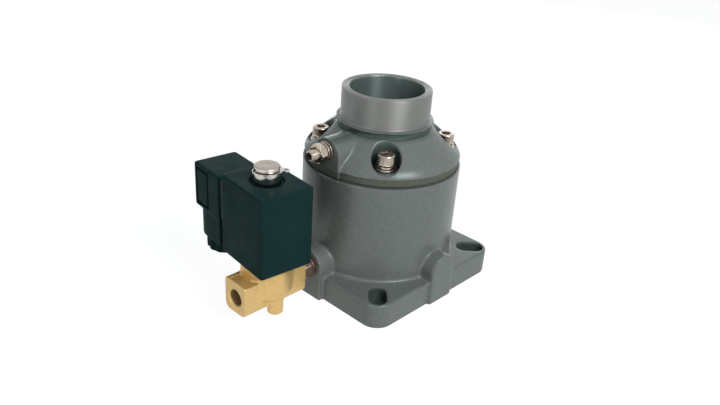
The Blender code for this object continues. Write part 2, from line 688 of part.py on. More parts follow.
def make_valve_body():
    """One casting: flange, chamber, two side bosses, and the servo cylinder on four ribs."""
    half = FLANGE_SIDE / 2
    flange = rounded_rectangle((-half, -half), (half, half), FLANGE_CORNER_RADIUS, 5)
    body = add_piece("valve_body", extruded([flange], 0.0, FLANGE_THICKNESS), CASTING, valve_axis)
    round_edges(body, FLANGE_EDGE_RADIUS, 1)

    fillet = arc((BODY_RADIUS + BODY_FOOT_FILLET, FLANGE_THICKNESS + BODY_FOOT_FILLET - SINK),
                 BODY_FOOT_FILLET, 180, 270, 3)
    barrel = [(0.0, BODY_HEIGHT), (BODY_RADIUS, BODY_HEIGHT)]
    barrel += fillet + [(BODY_RADIUS + BODY_FOOT_FILLET, BARREL_FOOT), (0.0, BARREL_FOOT)]
    join(body, "chamber_wall", turned(barrel, LARGE_STEPS))

    boss = arch(BOSS_HALF_WIDTH, 0.0, PORT_HEIGHT)
    root = CHAMBER_RADIUS - BOSS_ROOT
    join(body, "port_boss", facing(extruded([boss], root, PORT_BOSS_REACH), (-1, 0, 0)))
    join(body, "blind_boss", facing(extruded([boss], root, BLIND_BOSS_REACH), (0, -1, 0)))

    core = body_core()
    shape_with(body, core, "DIFFERENCE")

    seat_base = SPRING_SEAT_HEIGHT - SPRING_SEAT_THICKNESS
    hub = [(0.0, HUB_HEIGHT), (HUB_RADIUS - BROAD_CHAMFER, HUB_HEIGHT),
           (HUB_RADIUS, HUB_HEIGHT - BROAD_CHAMFER), (HUB_RADIUS, SPRING_SEAT_HEIGHT),
           (SPRING_SEAT_RADIUS, SPRING_SEAT_HEIGHT), (SPRING_SEAT_RADIUS, seat_base),
           (HUB_RADIUS, seat_base - SPRING_SEAT_TAPER), (HUB_RADIUS, 0.0), (0.0, 0.0)]
    join(body, "servo_cylinder", turned(hub, 24))
    reach = CHAMBER_RADIUS + BODY_WALL / 2
    side = RIB_WIDTH / 2
    rib_top = SPRING_SEAT_HEIGHT - SINK
    join(body, "rib_along_x", block((-reach, -side, RIB_BASE), (reach, side, rib_top)))
    join(body, "rib_along_y", block((-side, -reach, RIB_BASE), (side, reach, rib_top)))

    above = HUB_HEIGHT + CUT_PAST
    cut(body, "servo_bore", turned([(0.0, above), (SERVO_RADIUS, above), (SERVO_RADIUS, SERVO_FLOOR),
                                    (0.0, SERVO_FLOOR)], MEDIUM_STEPS, between=True))
    groove = FLANGE_SEAL_SECTION + SEAT_GAP
    cut(body, "flange_groove", ring(FLANGE_SEAL_RADIUS - groove, FLANGE_SEAL_RADIUS + groove,
                                    -CUT_PAST, 2 * groove, LARGE_STEPS))
    for number, (angle, centre) in enumerate(zip(DIAGONALS, SLOT_CENTRES), 1):
        slot = obround(SLOT_WIDTH, SLOT_LENGTH, angle, centre)
        cut(body, f"flange_slot_{number}", extruded([slot], -CUT_PAST, FLANGE_THICKNESS + CUT_PAST))
    holes = cut(body, "cover_screw_holes", screw_hole_mesh())
    port_floor = -PORT_BOSS_REACH + PORT_DEPTH
    cut(body, "control_air_port", pins([((-PORT_BOSS_REACH - CUT_PAST, 0, PORT_HEIGHT),
                                         (port_floor, 0, PORT_HEIGHT))],
                                       NIPPLE_THREAD_RADIUS + SEAT_GAP, SMALL_STEPS))
    cut(body, "control_air_passage", pins([((port_floor - CUT_PAST, 0, PORT_HEIGHT),
                                            (-SERVO_RADIUS + 2 * CUT_PAST, 0, PORT_HEIGHT))],
                                          PASSAGE_RADIUS, SMALL_STEPS))
    return core, holes


def make_cover(holes):
    """Conical cover with the pipe neck, the valve seat, four screw pockets and the bleed boss."""
    band = BODY_RADIUS - BAND_STEP
    shoulder = (BODY_RADIUS, COVER_BASE + SHOULDER_RISE)
    collar_foot = (COLLAR_RADIUS, COLLAR_BASE)
    band_top = COVER_BASE + BAND_HEIGHT
    outer = [(NECK_BORE_RADIUS + CHAMFER, NECK_TOP), (NECK_RADIUS - CHAMFER, NECK_TOP),
             (NECK_RADIUS, NECK_TOP - CHAMFER),
             (NECK_RADIUS, COLLAR_TOP), (COLLAR_RADIUS - CHAMFER, COLLAR_TOP),
             (COLLAR_RADIUS, COLLAR_TOP - CHAMFER), collar_foot]
    outer += softened(collar_foot, shoulder, (BODY_RADIUS, COVER_BASE), SHOULDER_FILLET, 3)
    rough_base = COVER_BASE - FACING_ALLOWANCE
    outer += [(BODY_RADIUS, band_top), (band, band_top), (band, rough_base),
              (NECK_BORE_RADIUS, rough_base), (NECK_BORE_RADIUS, NECK_TOP - CHAMFER)]
    cover = add_piece("cover", turned(outer, LARGE_STEPS), CASTING, valve_axis)

    boss = arch(BLEED_BOSS_HALF_WIDTH, rough_base - CUT_PAST, COVER_BASE + BLEED_BOSS_RISE, 12)
    reach = BODY_RADIUS + 2 * CUT_PAST
    side = BLEED_BOSS_HALF_WIDTH + CUT_PAST
    root = (NECK_BORE_RADIUS + NECK_RADIUS) / 2
    join(cover, "bleed_boss", facing(extruded([boss], root, reach - CUT_PAST), (-1, 0, 0)))
    cut(cover, "bleed_spot_face", block((-reach, -side, rough_base - 2 * CUT_PAST),
                                        (-BLEED_FACE_REACH, side, COLLAR_TOP)))
    cut(cover, "joint_face", block((-reach - CUT_PAST, -reach, rough_base - 3 * CUT_PAST),
                                   (reach, reach, COVER_BASE)))

    slope = Vector(shoulder) - Vector(collar_foot)
    inward = Vector((slope.y, -slope.x)).normalized() * COVER_WALL
    inner_top = Vector(collar_foot) + inward
    inner_low = Vector(shoulder) + inward
    fall = (inner_low.y - inner_top.y) / (inner_low.x - inner_top.x)
    rim_top = VALVE_SEAT + SEAT_RIM_HEIGHT
    rim_radius = inner_top.x + (rim_top - inner_top.y) / fall
    wall_top = inner_top.y + (CHAMBER_RADIUS - inner_top.x) * fall
    below = COVER_BASE - 5 * CUT_PAST
    hollow = [(0.0, VALVE_SEAT), (SEAT_LAND_RADIUS, VALVE_SEAT), (SEAT_LAND_RADIUS, rim_top),
              (rim_radius, rim_top), (CHAMBER_RADIUS, wall_top), (CHAMBER_RADIUS, below),
              (0.0, below)]
    core = add_piece("cover_core", turned(hollow, LARGE_STEPS, between=True))
    for number, (x, y) in enumerate(SCREW_CENTRES, 1):
        ends = [((x, y, below - CUT_PAST), (x, y, COLLAR_TOP))]
        cut(core, f"pocket_boss_{number}", pins(ends, COVER_SCREW_BOSS_RADIUS, MEDIUM_STEPS))
    shape_with(cover, core, "DIFFERENCE")

    for number, (x, y) in enumerate(SCREW_CENTRES, 1):
        ends = [((x, y, POCKET_FLOOR), (x, y, COLLAR_TOP))]
        cut(cover, f"screw_pocket_{number}", pins(ends, POCKET_RADIUS, MEDIUM_STEPS))
    shape_with(cover, holes, "DIFFERENCE")
    cut(cover, "bleed_thread", pins([((-reach, 0, BLEED_AXIS), (-BLEED_SEAT, 0, BLEED_AXIS))],
                                    SCREW_HOLE_RADIUS, SMALL_STEPS))
    cut(cover, "bleed_orifice", pins([((-BLEED_SEAT - CUT_PAST, 0, BLEED_AXIS),
                                       (-NECK_BORE_RADIUS + 2 * CUT_PAST, 0, BLEED_AXIS))],
                                     BLEED_ORIFICE_RADIUS, SMALL_STEPS))


def make_gasket(core, holes):
    """Flat gasket between body and cover, with an ear round each screw."""
    low = BODY_HEIGHT + SEAT_GAP
    rim = circle(BODY_RADIUS - BAND_STEP, LARGE_STEPS)
    gasket = add_piece("cover_gasket", extruded([rim], low, low + GASKET_THICKNESS), FIBRE, valve_axis)
    shape_with(gasket, core, "DIFFERENCE")
    shape_with(gasket, holes, "DIFFERENCE")


def screw_mesh(radius, length, head_radius, head_height, steps):
    """Cap screw with its head on z = 0 and its shank below."""
    chamfer = head_radius * 0.1
    return turned([(0.0, head_height), (head_radius - chamfer, head_height),
                   (head_radius, head_height - chamfer), (head_radius, 0.0), (radius, 0.0),
                   (radius, chamfer - length), (radius - chamfer, -length), (0.0, -length)], steps)


def spring_washer(name, inner, outer, thickness, slit, parent, location, turn=0.0):
    """Split ring under a screw head or nut."""
    washer = add_piece(name, ring(inner, outer, 0.0, thickness, SMALL_STEPS), STEEL, parent, location)
    gap = block((inner * 0.6, -slit / 2, -CUT_PAST), (outer + CUT_PAST, slit / 2, thickness + CUT_PAST))
    gap.transform(Matrix.Rotation(turn, 4, "Z"))
    cut(washer, f"{name}_slit", gap, parent, location)


def make_cover_screws():
    """Four cap screws, each on a split washer and a flat washer in its pocket."""
    for number, (x, y) in enumerate(SCREW_CENTRES, 1):
        cap = screw_mesh(SCREW_RADIUS, SCREW_LENGTH, SCREW_HEAD_RADIUS, SCREW_HEAD_HEIGHT, SMALL_STEPS)
        screw = add_piece(f"cover_screw_{number}", cap, STEEL, valve_axis, (x, y, SCREW_SEAT))
        socket = extruded([hexagon(SOCKET_FLATS)], SCREW_HEAD_HEIGHT - SOCKET_DEPTH,
                          SCREW_HEAD_HEIGHT + CUT_PAST)
        cut(screw, f"screw_socket_{number}", socket, valve_axis, (x, y, SCREW_SEAT))
        spring_washer(f"spring_washer_{number}", SCREW_HOLE_RADIUS, SPRING_WASHER_RADIUS,
                      SPRING_WASHER_THICKNESS, SPRING_WASHER_SLIT, valve_axis,
                      (x, y, SPRING_WASHER_BASE), turn=0.7 * number)
        add_piece(f"flat_washer_{number}",
                  ring(SCREW_HOLE_RADIUS, FLAT_WASHER_RADIUS, 0.0, FLAT_WASHER_THICKNESS, SMALL_STEPS),
                  STEEL, valve_axis, (x, y, FLAT_WASHER_BASE))


def make_bleed_screw():
    """Adjusting screw with a cone tip, its flat washer, split washer and lock nut, along -X."""
    washer_face = BLEED_FACE_REACH + SEAT_GAP
    split_face = washer_face + FLAT_WASHER_THICKNESS + SEAT_GAP
    nut_face = split_face + SPRING_WASHER_THICKNESS + SEAT_GAP
    place = (0, 0, BLEED_AXIS)
    screw = add_piece("bleed_screw", lying(turned([
        (0.0, BLEED_SCREW_REACH), (SCREW_RADIUS - FINE_CHAMFER, BLEED_SCREW_REACH),
        (SCREW_RADIUS, BLEED_SCREW_REACH - FINE_CHAMFER), (SCREW_RADIUS, BLEED_SCREW_TIP + BLEED_CONE_LENGTH),
        (BLEED_ORIFICE_RADIUS * 0.6, BLEED_SCREW_TIP), (0.0, BLEED_SCREW_TIP)], SMALL_STEPS)),
        STEEL, valve_axis, place)
    socket = extruded([hexagon(BLEED_SOCKET_FLATS)], BLEED_SCREW_REACH - BLEED_SOCKET_DEPTH,
                      BLEED_SCREW_REACH + CUT_PAST)
    cut(screw, "bleed_socket", lying(socket), valve_axis, place)
    flat = ring(SCREW_HOLE_RADIUS, FLAT_WASHER_RADIUS, washer_face, washer_face + FLAT_WASHER_THICKNESS,
                SMALL_STEPS)
    add_piece("bleed_flat_washer", lying(flat), STEEL, valve_axis, place)
    split_end = split_face + SPRING_WASHER_THICKNESS
    split_ring = ring(SCREW_HOLE_RADIUS, SPRING_WASHER_RADIUS, split_face, split_end, SMALL_STEPS)
    split = add_piece("bleed_spring_washer", lying(split_ring), STEEL, valve_axis, place)
    slit = block((-split_end - CUT_PAST, -SPRING_WASHER_SLIT / 2, SCREW_HOLE_RADIUS * 0.6),
                 (-split_face + CUT_PAST, SPRING_WASHER_SLIT / 2, SPRING_WASHER_RADIUS + CUT_PAST))
    cut(split, "bleed_slit", slit, valve_axis, place)
    nut = extruded([hexagon(NUT_FLATS), circle(SCREW_HOLE_RADIUS, SMALL_STEPS)], nut_face,
                   nut_face + NUT_THICKNESS)
    add_piece("bleed_lock_nut", lying(nut), STEEL, valve_axis, place)


def make_valve():
    """Valve plate with its rubber seal, held on the servo piston's rod by a washer and a nut."""
    bore = ROD_RADIUS + SEAT_GAP
    seal_outer = PLATE_RADIUS - SEAT_GAP
    seal_inner = seal_outer - SEAL_WIDTH
    land = seal_inner - SEAT_GAP
    spring_inside = SPRING_RADIUS - SPRING_WIRE_RADIUS - SPRING_GUIDE_GAP
    cone_foot = PLATE_UNDERSIDE - PLATE_CONE_HEIGHT
    plate = turned([
        (PLATE_WASHER_RADIUS + PLATE_FLAT_MARGIN, PLATE_CENTRE_TOP),
        (land, PLATE_RIM_TOP + SEAL_THICKNESS * SEAL_LAND_SHARE), (land, PLATE_RIM_TOP),
        (PLATE_RADIUS, PLATE_RIM_TOP), (PLATE_RADIUS, PLATE_UNDERSIDE + BROAD_CHAMFER),
        (PLATE_RADIUS - BROAD_CHAMFER, PLATE_UNDERSIDE), (spring_inside, PLATE_UNDERSIDE),
        (PLATE_BOSS_RADIUS, cone_foot), (PLATE_BOSS_RADIUS, PLATE_BOSS_BASE), (bore, PLATE_BOSS_BASE),
        (bore, PLATE_CENTRE_TOP)], 24)
    add_piece("valve_plate", plate, MACHINED, valve_travel)
    add_piece("plate_seal", ring(seal_inner, seal_outer, SEAL_TOP - SEAL_THICKNESS, SEAL_TOP, 24),
              RUBBER, valve_travel)

    seal_mid = (PISTON_BASE + PISTON_TOP) / 2
    groove_low = seal_mid - PISTON_SEAL_HEIGHT / 2 - SEAT_GAP
    groove_high = seal_mid + PISTON_SEAL_HEIGHT / 2 + SEAT_GAP
    groove_radius = PISTON_RADIUS - PISTON_SEAL_DEPTH - SEAT_GAP
    shoulder = PLATE_BOSS_BASE - SEAT_GAP
    piston = turned([
        (0.0, ROD_TOP), (ROD_RADIUS - FINE_CHAMFER, ROD_TOP), (ROD_RADIUS, ROD_TOP - FINE_CHAMFER),
        (ROD_RADIUS, shoulder), (ROD_SHOULDER_RADIUS, shoulder), (ROD_SHOULDER_RADIUS, PISTON_TOP),
        (PISTON_RADIUS, PISTON_TOP), (PISTON_RADIUS, groove_high), (groove_radius, groove_high),
        (groove_radius, groove_low), (PISTON_RADIUS, groove_low), (PISTON_RADIUS, PISTON_BASE),
        (0.0, PISTON_BASE)], MEDIUM_STEPS)
    add_piece("servo_piston", piston, MACHINED, valve_travel)
    add_piece("piston_seal", ring(PISTON_RADIUS - PISTON_SEAL_DEPTH, PISTON_RADIUS,
                                  seal_mid - PISTON_SEAL_HEIGHT / 2, seal_mid + PISTON_SEAL_HEIGHT / 2,
                                  MEDIUM_STEPS), RUBBER, valve_travel)
    washer_base = PLATE_CENTRE_TOP + SEAT_GAP
    add_piece("plate_washer", ring(bore, PLATE_WASHER_RADIUS, washer_base,
                                   washer_base + PLATE_WASHER_THICKNESS, SMALL_STEPS), STEEL, valve_travel)
    nut = extruded([hexagon(PLATE_NUT_FLATS), circle(bore, SMALL_STEPS)],
                   PLATE_NUT_BASE, PLATE_NUT_BASE + PLATE_NUT_THICKNESS)
    add_piece("plate_nut", nut, STEEL, valve_travel)

    low = SPRING_SEAT_HEIGHT + SEAT_GAP + SPRING_WIRE_RADIUS
    high = PLATE_UNDERSIDE - SEAT_GAP - SPRING_WIRE_RADIUS
    path = coil_points(SPRING_RADIUS, SPRING_WIRE_RADIUS, low, high, SPRING_TURNS, 10)
    add_piece("return_spring", wire_mesh(path, SPRING_WIRE_RADIUS), STEEL, valve_axis)


def make_flange_seal():
    """O-ring in the groove of the mounting face, just inside the face."""
    z = FLANGE_SEAL_SECTION + SEAT_GAP
    oring = seal_ring(FLANGE_SEAL_RADIUS, FLANGE_SEAL_SECTION, z, LARGE_STEPS)
    add_piece("flange_seal", oring, RUBBER, valve_axis)


def make_nipple():
    """Hex nipple between the port boss and the brass body, with a copper washer at each end."""
    place = (0, 0, PORT_HEIGHT)
    low = NIPPLE_START - NIPPLE_THREAD_LENGTH
    high = NIPPLE_END + NIPPLE_THREAD_LENGTH
    stem = ring(NIPPLE_BORE_RADIUS, NIPPLE_THREAD_RADIUS, low, high, SMALL_STEPS)
    nipple = add_piece("hex_nipple", lying(stem), STEEL, valve_axis, place)
    hexes = [hexagon(NIPPLE_FLATS), circle(NIPPLE_BORE_RADIUS + CUT_PAST, SMALL_STEPS)]
    collar = extruded(hexes, NIPPLE_START, NIPPLE_END)
    collar.transform(Matrix.Rotation(math.pi / 2, 4, "Z"))
    join(nipple, "nipple_hex", lying(collar), valve_axis, place)
    starts = {"nipple_washer_inner": PORT_BOSS_REACH + SEAT_GAP, "nipple_washer_outer": NIPPLE_END + SEAT_GAP}
    for name, start in starts.items():
        washer = ring(NIPPLE_THREAD_RADIUS + SEAT_GAP, SEAL_WASHER_RADIUS, start,
                      start + SEAL_WASHER_THICKNESS, SMALL_STEPS)
        add_piece(name, lying(washer), COPPER, valve_axis, place)


def make_solenoid_body():
    """Forged brass body: two port arms on a round barrel, a waist and two feet below it."""
    low = PORT_HEIGHT - BRASS_DROP
    high = PORT_HEIGHT + BRASS_TOP_RISE
    corner = BRASS_CORNER_RADIUS
    half = BRASS_HALF_WIDTH
    section = [(half, high), (-half, high)]
    section += arc((-half + corner, low + corner), corner, 180, 270, 4)
    section += arc((half - corner, low + corner), corner, 270, 360, 4)
    arm = extruded([section], BRASS_HALF_LENGTH - BRASS_ARM_LENGTH, BRASS_HALF_LENGTH)
    body = add_piece("solenoid_body", facing(arm, (-1, 0, 0)), BRASS, solenoid_axis)
    round_edges(body, BRASS_EDGE_CHAMFER, 1)

    waist_low = PORT_HEIGHT - BRASS_WAIST_DROP
    barrel_low = PORT_HEIGHT - BRASS_BARREL_DROP
    barrel = [(0.0, BRASS_TOP), (BRASS_BARREL_RADIUS - CHAMFER, BRASS_TOP),
              (BRASS_BARREL_RADIUS, BRASS_TOP - CHAMFER), (BRASS_BARREL_RADIUS, barrel_low),
              (BRASS_WAIST_RADIUS, barrel_low - BRASS_BARREL_TAPER),
              (BRASS_WAIST_RADIUS, waist_low + BROAD_CHAMFER),
              (BRASS_WAIST_RADIUS - BROAD_CHAMFER, waist_low), (0.0, waist_low)]
    join(body, "brass_barrel", turned(barrel, MEDIUM_STEPS), solenoid_axis)
    section = [(-x, z) for x, z in reversed(section)]
    arm = extruded([section], BRASS_HALF_LENGTH - BRASS_ARM_LENGTH, BRASS_HALF_LENGTH)
    join(body, "outlet_arm", facing(arm, (1, 0, 0)), solenoid_axis)
    foot_low = PORT_HEIGHT - BRASS_FOOT_DROP
    for number, side in enumerate((-1, 1), 1):
        y = side * BRASS_FOOT_SPACING / 2
        foot_top = waist_low + BRASS_FOOT_ROOT
        foot = turned([(0.0, foot_top), (BRASS_FOOT_RADIUS, foot_top),
                       (BRASS_FOOT_RADIUS, foot_low + CHAMFER), (BRASS_FOOT_RADIUS - CHAMFER, foot_low),
                       (0.0, foot_low)], SMALL_STEPS)
        join(body, f"brass_foot_{number}", foot, solenoid_axis, (0, y, 0))

    thread = NIPPLE_THREAD_RADIUS + SEAT_GAP
    end = BRASS_HALF_LENGTH
    ports = [((side * (end + CUT_PAST), 0, PORT_HEIGHT), (side * (end - PILOT_PORT_DEPTH), 0, PORT_HEIGHT))
             for side in (-1, 1)]
    cut(body, "pilot_ports", pins(ports, thread, SMALL_STEPS), solenoid_axis)
    floor = PORT_HEIGHT + PILOT_FLOOR_RISE
    above = BRASS_TOP + CUT_PAST
    seat = TUBE_COLLAR_RADIUS + SEAT_GAP
    cut(body, "tube_thread", turned([(0.0, above), (seat, above), (seat, TUBE_SEAT),
                                     (PILOT_CHAMBER_RADIUS, TUBE_SEAT), (PILOT_CHAMBER_RADIUS, floor),
                                     (NOZZLE_RADIUS, floor), (NOZZLE_RADIUS * NOZZLE_TAPER, NOZZLE_TOP),
                                     (0.0, NOZZLE_TOP)], MEDIUM_STEPS, between=True), solenoid_axis)
    inner = end - PILOT_PORT_DEPTH + CUT_PAST
    inlet_z = floor + PILOT_PASSAGE_RADIUS + SEAT_GAP
    outlet_z = floor - PILOT_PASSAGE_RADIUS - PILOT_PASSAGE_WALL
    cut(body, "inlet_passage", pins([((-inner, 0, inlet_z), (-NOZZLE_RADIUS - CUT_PAST, 0, inlet_z))],
                                    PILOT_PASSAGE_RADIUS, PASSAGE_STEPS), solenoid_axis)
    cut(body, "outlet_passage", pins([((inner, 0, outlet_z), (-ORIFICE_RADIUS / 2, 0, outlet_z))],
                                     PILOT_PASSAGE_RADIUS, PASSAGE_STEPS), solenoid_axis)
    cut(body, "orifice", pins([((0, 0, outlet_z), (0, 0, NOZZLE_TOP + CUT_PAST))],
                              ORIFICE_RADIUS, PASSAGE_STEPS), solenoid_axis)


def make_armature():
    """Armature tube screwed into the brass, the core that closes it, and the plunger inside."""
    collar_top = TUBE_BASE + TUBE_COLLAR_HEIGHT
    tube = turned([(TUBE_RADIUS, TUBE_TOP), (TUBE_RADIUS, collar_top), (TUBE_COLLAR_RADIUS, collar_top),
                   (TUBE_COLLAR_RADIUS, TUBE_BASE), (TUBE_BORE_RADIUS, TUBE_BASE),
                   (TUBE_BORE_RADIUS, TUBE_TOP)], MEDIUM_STEPS)
    add_piece("armature_tube", tube, STEEL, solenoid_axis)
    seal_radius = (PILOT_CHAMBER_RADIUS + TUBE_COLLAR_RADIUS) / 2 + TUBE_SEAL_OFFSET
    seal_middle = TUBE_SEAT + SEAT_GAP + TUBE_SEAL_SECTION
    add_piece("tube_seal", seal_ring(seal_radius, TUBE_SEAL_SECTION, seal_middle, MEDIUM_STEPS), RUBBER,
              solenoid_axis)
    core_radius = TUBE_BORE_RADIUS - SEAT_GAP
    core = turned([(0.0, CORE_TOP), (CORE_HEAD_RADIUS - CHAMFER, CORE_TOP),
                   (CORE_HEAD_RADIUS, CORE_TOP - CHAMFER), (CORE_HEAD_RADIUS, CORE_HEAD_BASE),
                   (CORE_NECK_RADIUS, CORE_HEAD_BASE), (CORE_NECK_RADIUS, TUBE_TOP),
                   (core_radius, TUBE_TOP - CORE_SHOULDER_DROP), (core_radius, CORE_BASE),
                   (0.0, CORE_BASE)], MEDIUM_STEPS)
    add_piece("fixed_core", core, CHROME, solenoid_axis)

    radius = TUBE_BORE_RADIUS - RUNNING_GAP
    pocket = PLUNGER_SPRING_RADIUS + PLUNGER_SPRING_WIRE_RADIUS + SEAT_GAP
    seal_top = PLUNGER_BASE - PLUNGER_SEAL_PROUD + PLUNGER_SEAL_THICKNESS
    recess = PLUNGER_SEAL_RADIUS + SEAT_GAP
    pocket_floor = PLUNGER_TOP - PLUNGER_POCKET_DEPTH
    plunger = turned([(0.0, pocket_floor), (pocket, pocket_floor), (pocket, PLUNGER_TOP),
                      (radius, PLUNGER_TOP), (radius, PLUNGER_BASE), (recess, PLUNGER_BASE),
                      (recess, seal_top + SEAT_GAP), (0.0, seal_top + SEAT_GAP)], MEDIUM_STEPS)
    add_piece("plunger", plunger, STEEL, plunger_travel)
    add_piece("plunger_seal", turned([(0.0, seal_top), (PLUNGER_SEAL_RADIUS, seal_top),
                                      (PLUNGER_SEAL_RADIUS, seal_top - PLUNGER_SEAL_THICKNESS),
                                      (0.0, seal_top - PLUNGER_SEAL_THICKNESS)], SMALL_STEPS),
              RUBBER, plunger_travel)
    low = pocket_floor + SEAT_GAP + PLUNGER_SPRING_WIRE_RADIUS
    high = CORE_BASE - SEAT_GAP - PLUNGER_SPRING_WIRE_RADIUS
    path = coil_points(PLUNGER_SPRING_RADIUS, PLUNGER_SPRING_WIRE_RADIUS, low, high, PLUNGER_SPRING_TURNS, 7)
    add_piece("plunger_spring", wire_mesh(path, PLUNGER_SPRING_WIRE_RADIUS), STEEL, solenoid_axis)


def make_coil():
    """Moulded coil on the tube, with the seal below it and its sleeve and clip on top."""
    bore = TUBE_RADIUS + SEAT_GAP
    outline = rounded_rectangle((-COIL_HALF_DEPTH, -COIL_HALF_WIDTH), (COIL_HALF_DEPTH, COIL_HALF_WIDTH),
                                COIL_EDGE_RADIUS)
    coil = add_piece("coil", extruded([outline], COIL_BASE, COIL_TOP), PLASTIC, coil_frame)
    round_edges(coil, COIL_EDGE_RADIUS * 0.7)
    low = PLUG_CENTRE - SOCKET_BASE_HEIGHT / 2
    high = PLUG_CENTRE + SOCKET_BASE_HEIGHT / 2
    join(coil, "socket_base", block((-SOCKET_BASE_HALF_WIDTH, COIL_HALF_WIDTH - SOCKET_BASE_ROOT, low),
                                    (SOCKET_BASE_HALF_WIDTH, SOCKET_FACE, high)), coil_frame)
    cut(coil, "coil_bore", turned([(0.0, COIL_TOP + CUT_PAST), (COIL_RECESS_RADIUS, COIL_TOP + CUT_PAST),
                                   (COIL_RECESS_RADIUS, COIL_TOP - COIL_RECESS_DEPTH),
                                   (bore, COIL_TOP - COIL_RECESS_DEPTH), (bore, COIL_BASE - CUT_PAST),
                                   (0.0, COIL_BASE - CUT_PAST)], MEDIUM_STEPS, between=True), coil_frame)
    cut(coil, "plug_screw_thread", pins([((0, SOCKET_FACE - PLUG_SCREW_GRIP - CUT_PAST, PLUG_CENTRE),
                                          (0, SOCKET_FACE + CUT_PAST, PLUG_CENTRE))],
                                        PLUG_SCREW_RADIUS + SEAT_GAP, SMALL_STEPS), coil_frame)
    seal_low = BRASS_TOP + SEAT_GAP
    seal = ring(bore, COIL_SEAL_RADIUS, seal_low, seal_low + COIL_SEAL_THICKNESS, MEDIUM_STEPS)
    add_piece("coil_seal", seal, RUBBER, solenoid_axis)
    sleeve = turned([(SLEEVE_RADIUS - FINE_CHAMFER, SLEEVE_TOP), (SLEEVE_RADIUS, SLEEVE_TOP - FINE_CHAMFER),
                     (SLEEVE_RADIUS, SLEEVE_BASE), (bore, SLEEVE_BASE), (bore, SLEEVE_TOP)], MEDIUM_STEPS)
    add_piece("retaining_sleeve", sleeve, CHROME, solenoid_axis)

    slot = CORE_NECK_RADIUS + SEAT_GAP
    open_angle = math.degrees(math.asin(slot / CLIP_RADIUS))
    tab_angle = math.degrees(math.asin(CLIP_TAB_RADIUS / CLIP_RADIUS))
    tab_centre = CLIP_TAB_REACH - CLIP_TAB_RADIUS
    outline = arc((0.0, 0.0), CLIP_RADIUS, tab_angle, 180 - open_angle, 10)
    outline += arc((0.0, 0.0), slot, 90, -90, 8)
    outline += arc((0.0, 0.0), CLIP_RADIUS, 180 + open_angle, 360 - tab_angle, 10)
    outline += arc((tab_centre, 0.0), CLIP_TAB_RADIUS, -90, 90, 6)
    hole = circle(CLIP_TAB_HOLE_RADIUS, 8, (tab_centre, 0.0))
    clip = extruded([outline, hole], CLIP_BASE, CLIP_BASE + CLIP_THICKNESS)
    clip.transform(Matrix.Rotation(CLIP_TURN, 4, "Z"))
    add_piece("retaining_clip", clip, CHROME, coil_frame)


def blade_places():
    """Centres of the three terminal blades on the socket face."""
    return [(-BLADE_SPREAD, PLUG_CENTRE), (BLADE_SPREAD, PLUG_CENTRE), (0.0, PLUG_CENTRE - BLADE_SPREAD)]


def blade_box(x, z, clearance, start, stop):
    """Box round one blade: the two live blades stand upright and the earth blade lies flat."""
    wide, thin = BLADE_WIDTH / 2 + clearance, BLADE_THICKNESS / 2 + clearance
    across, tall = (wide, thin) if x == 0.0 else (thin, wide)
    return block((x - across, start, z - tall), (x + across, stop, z + tall))


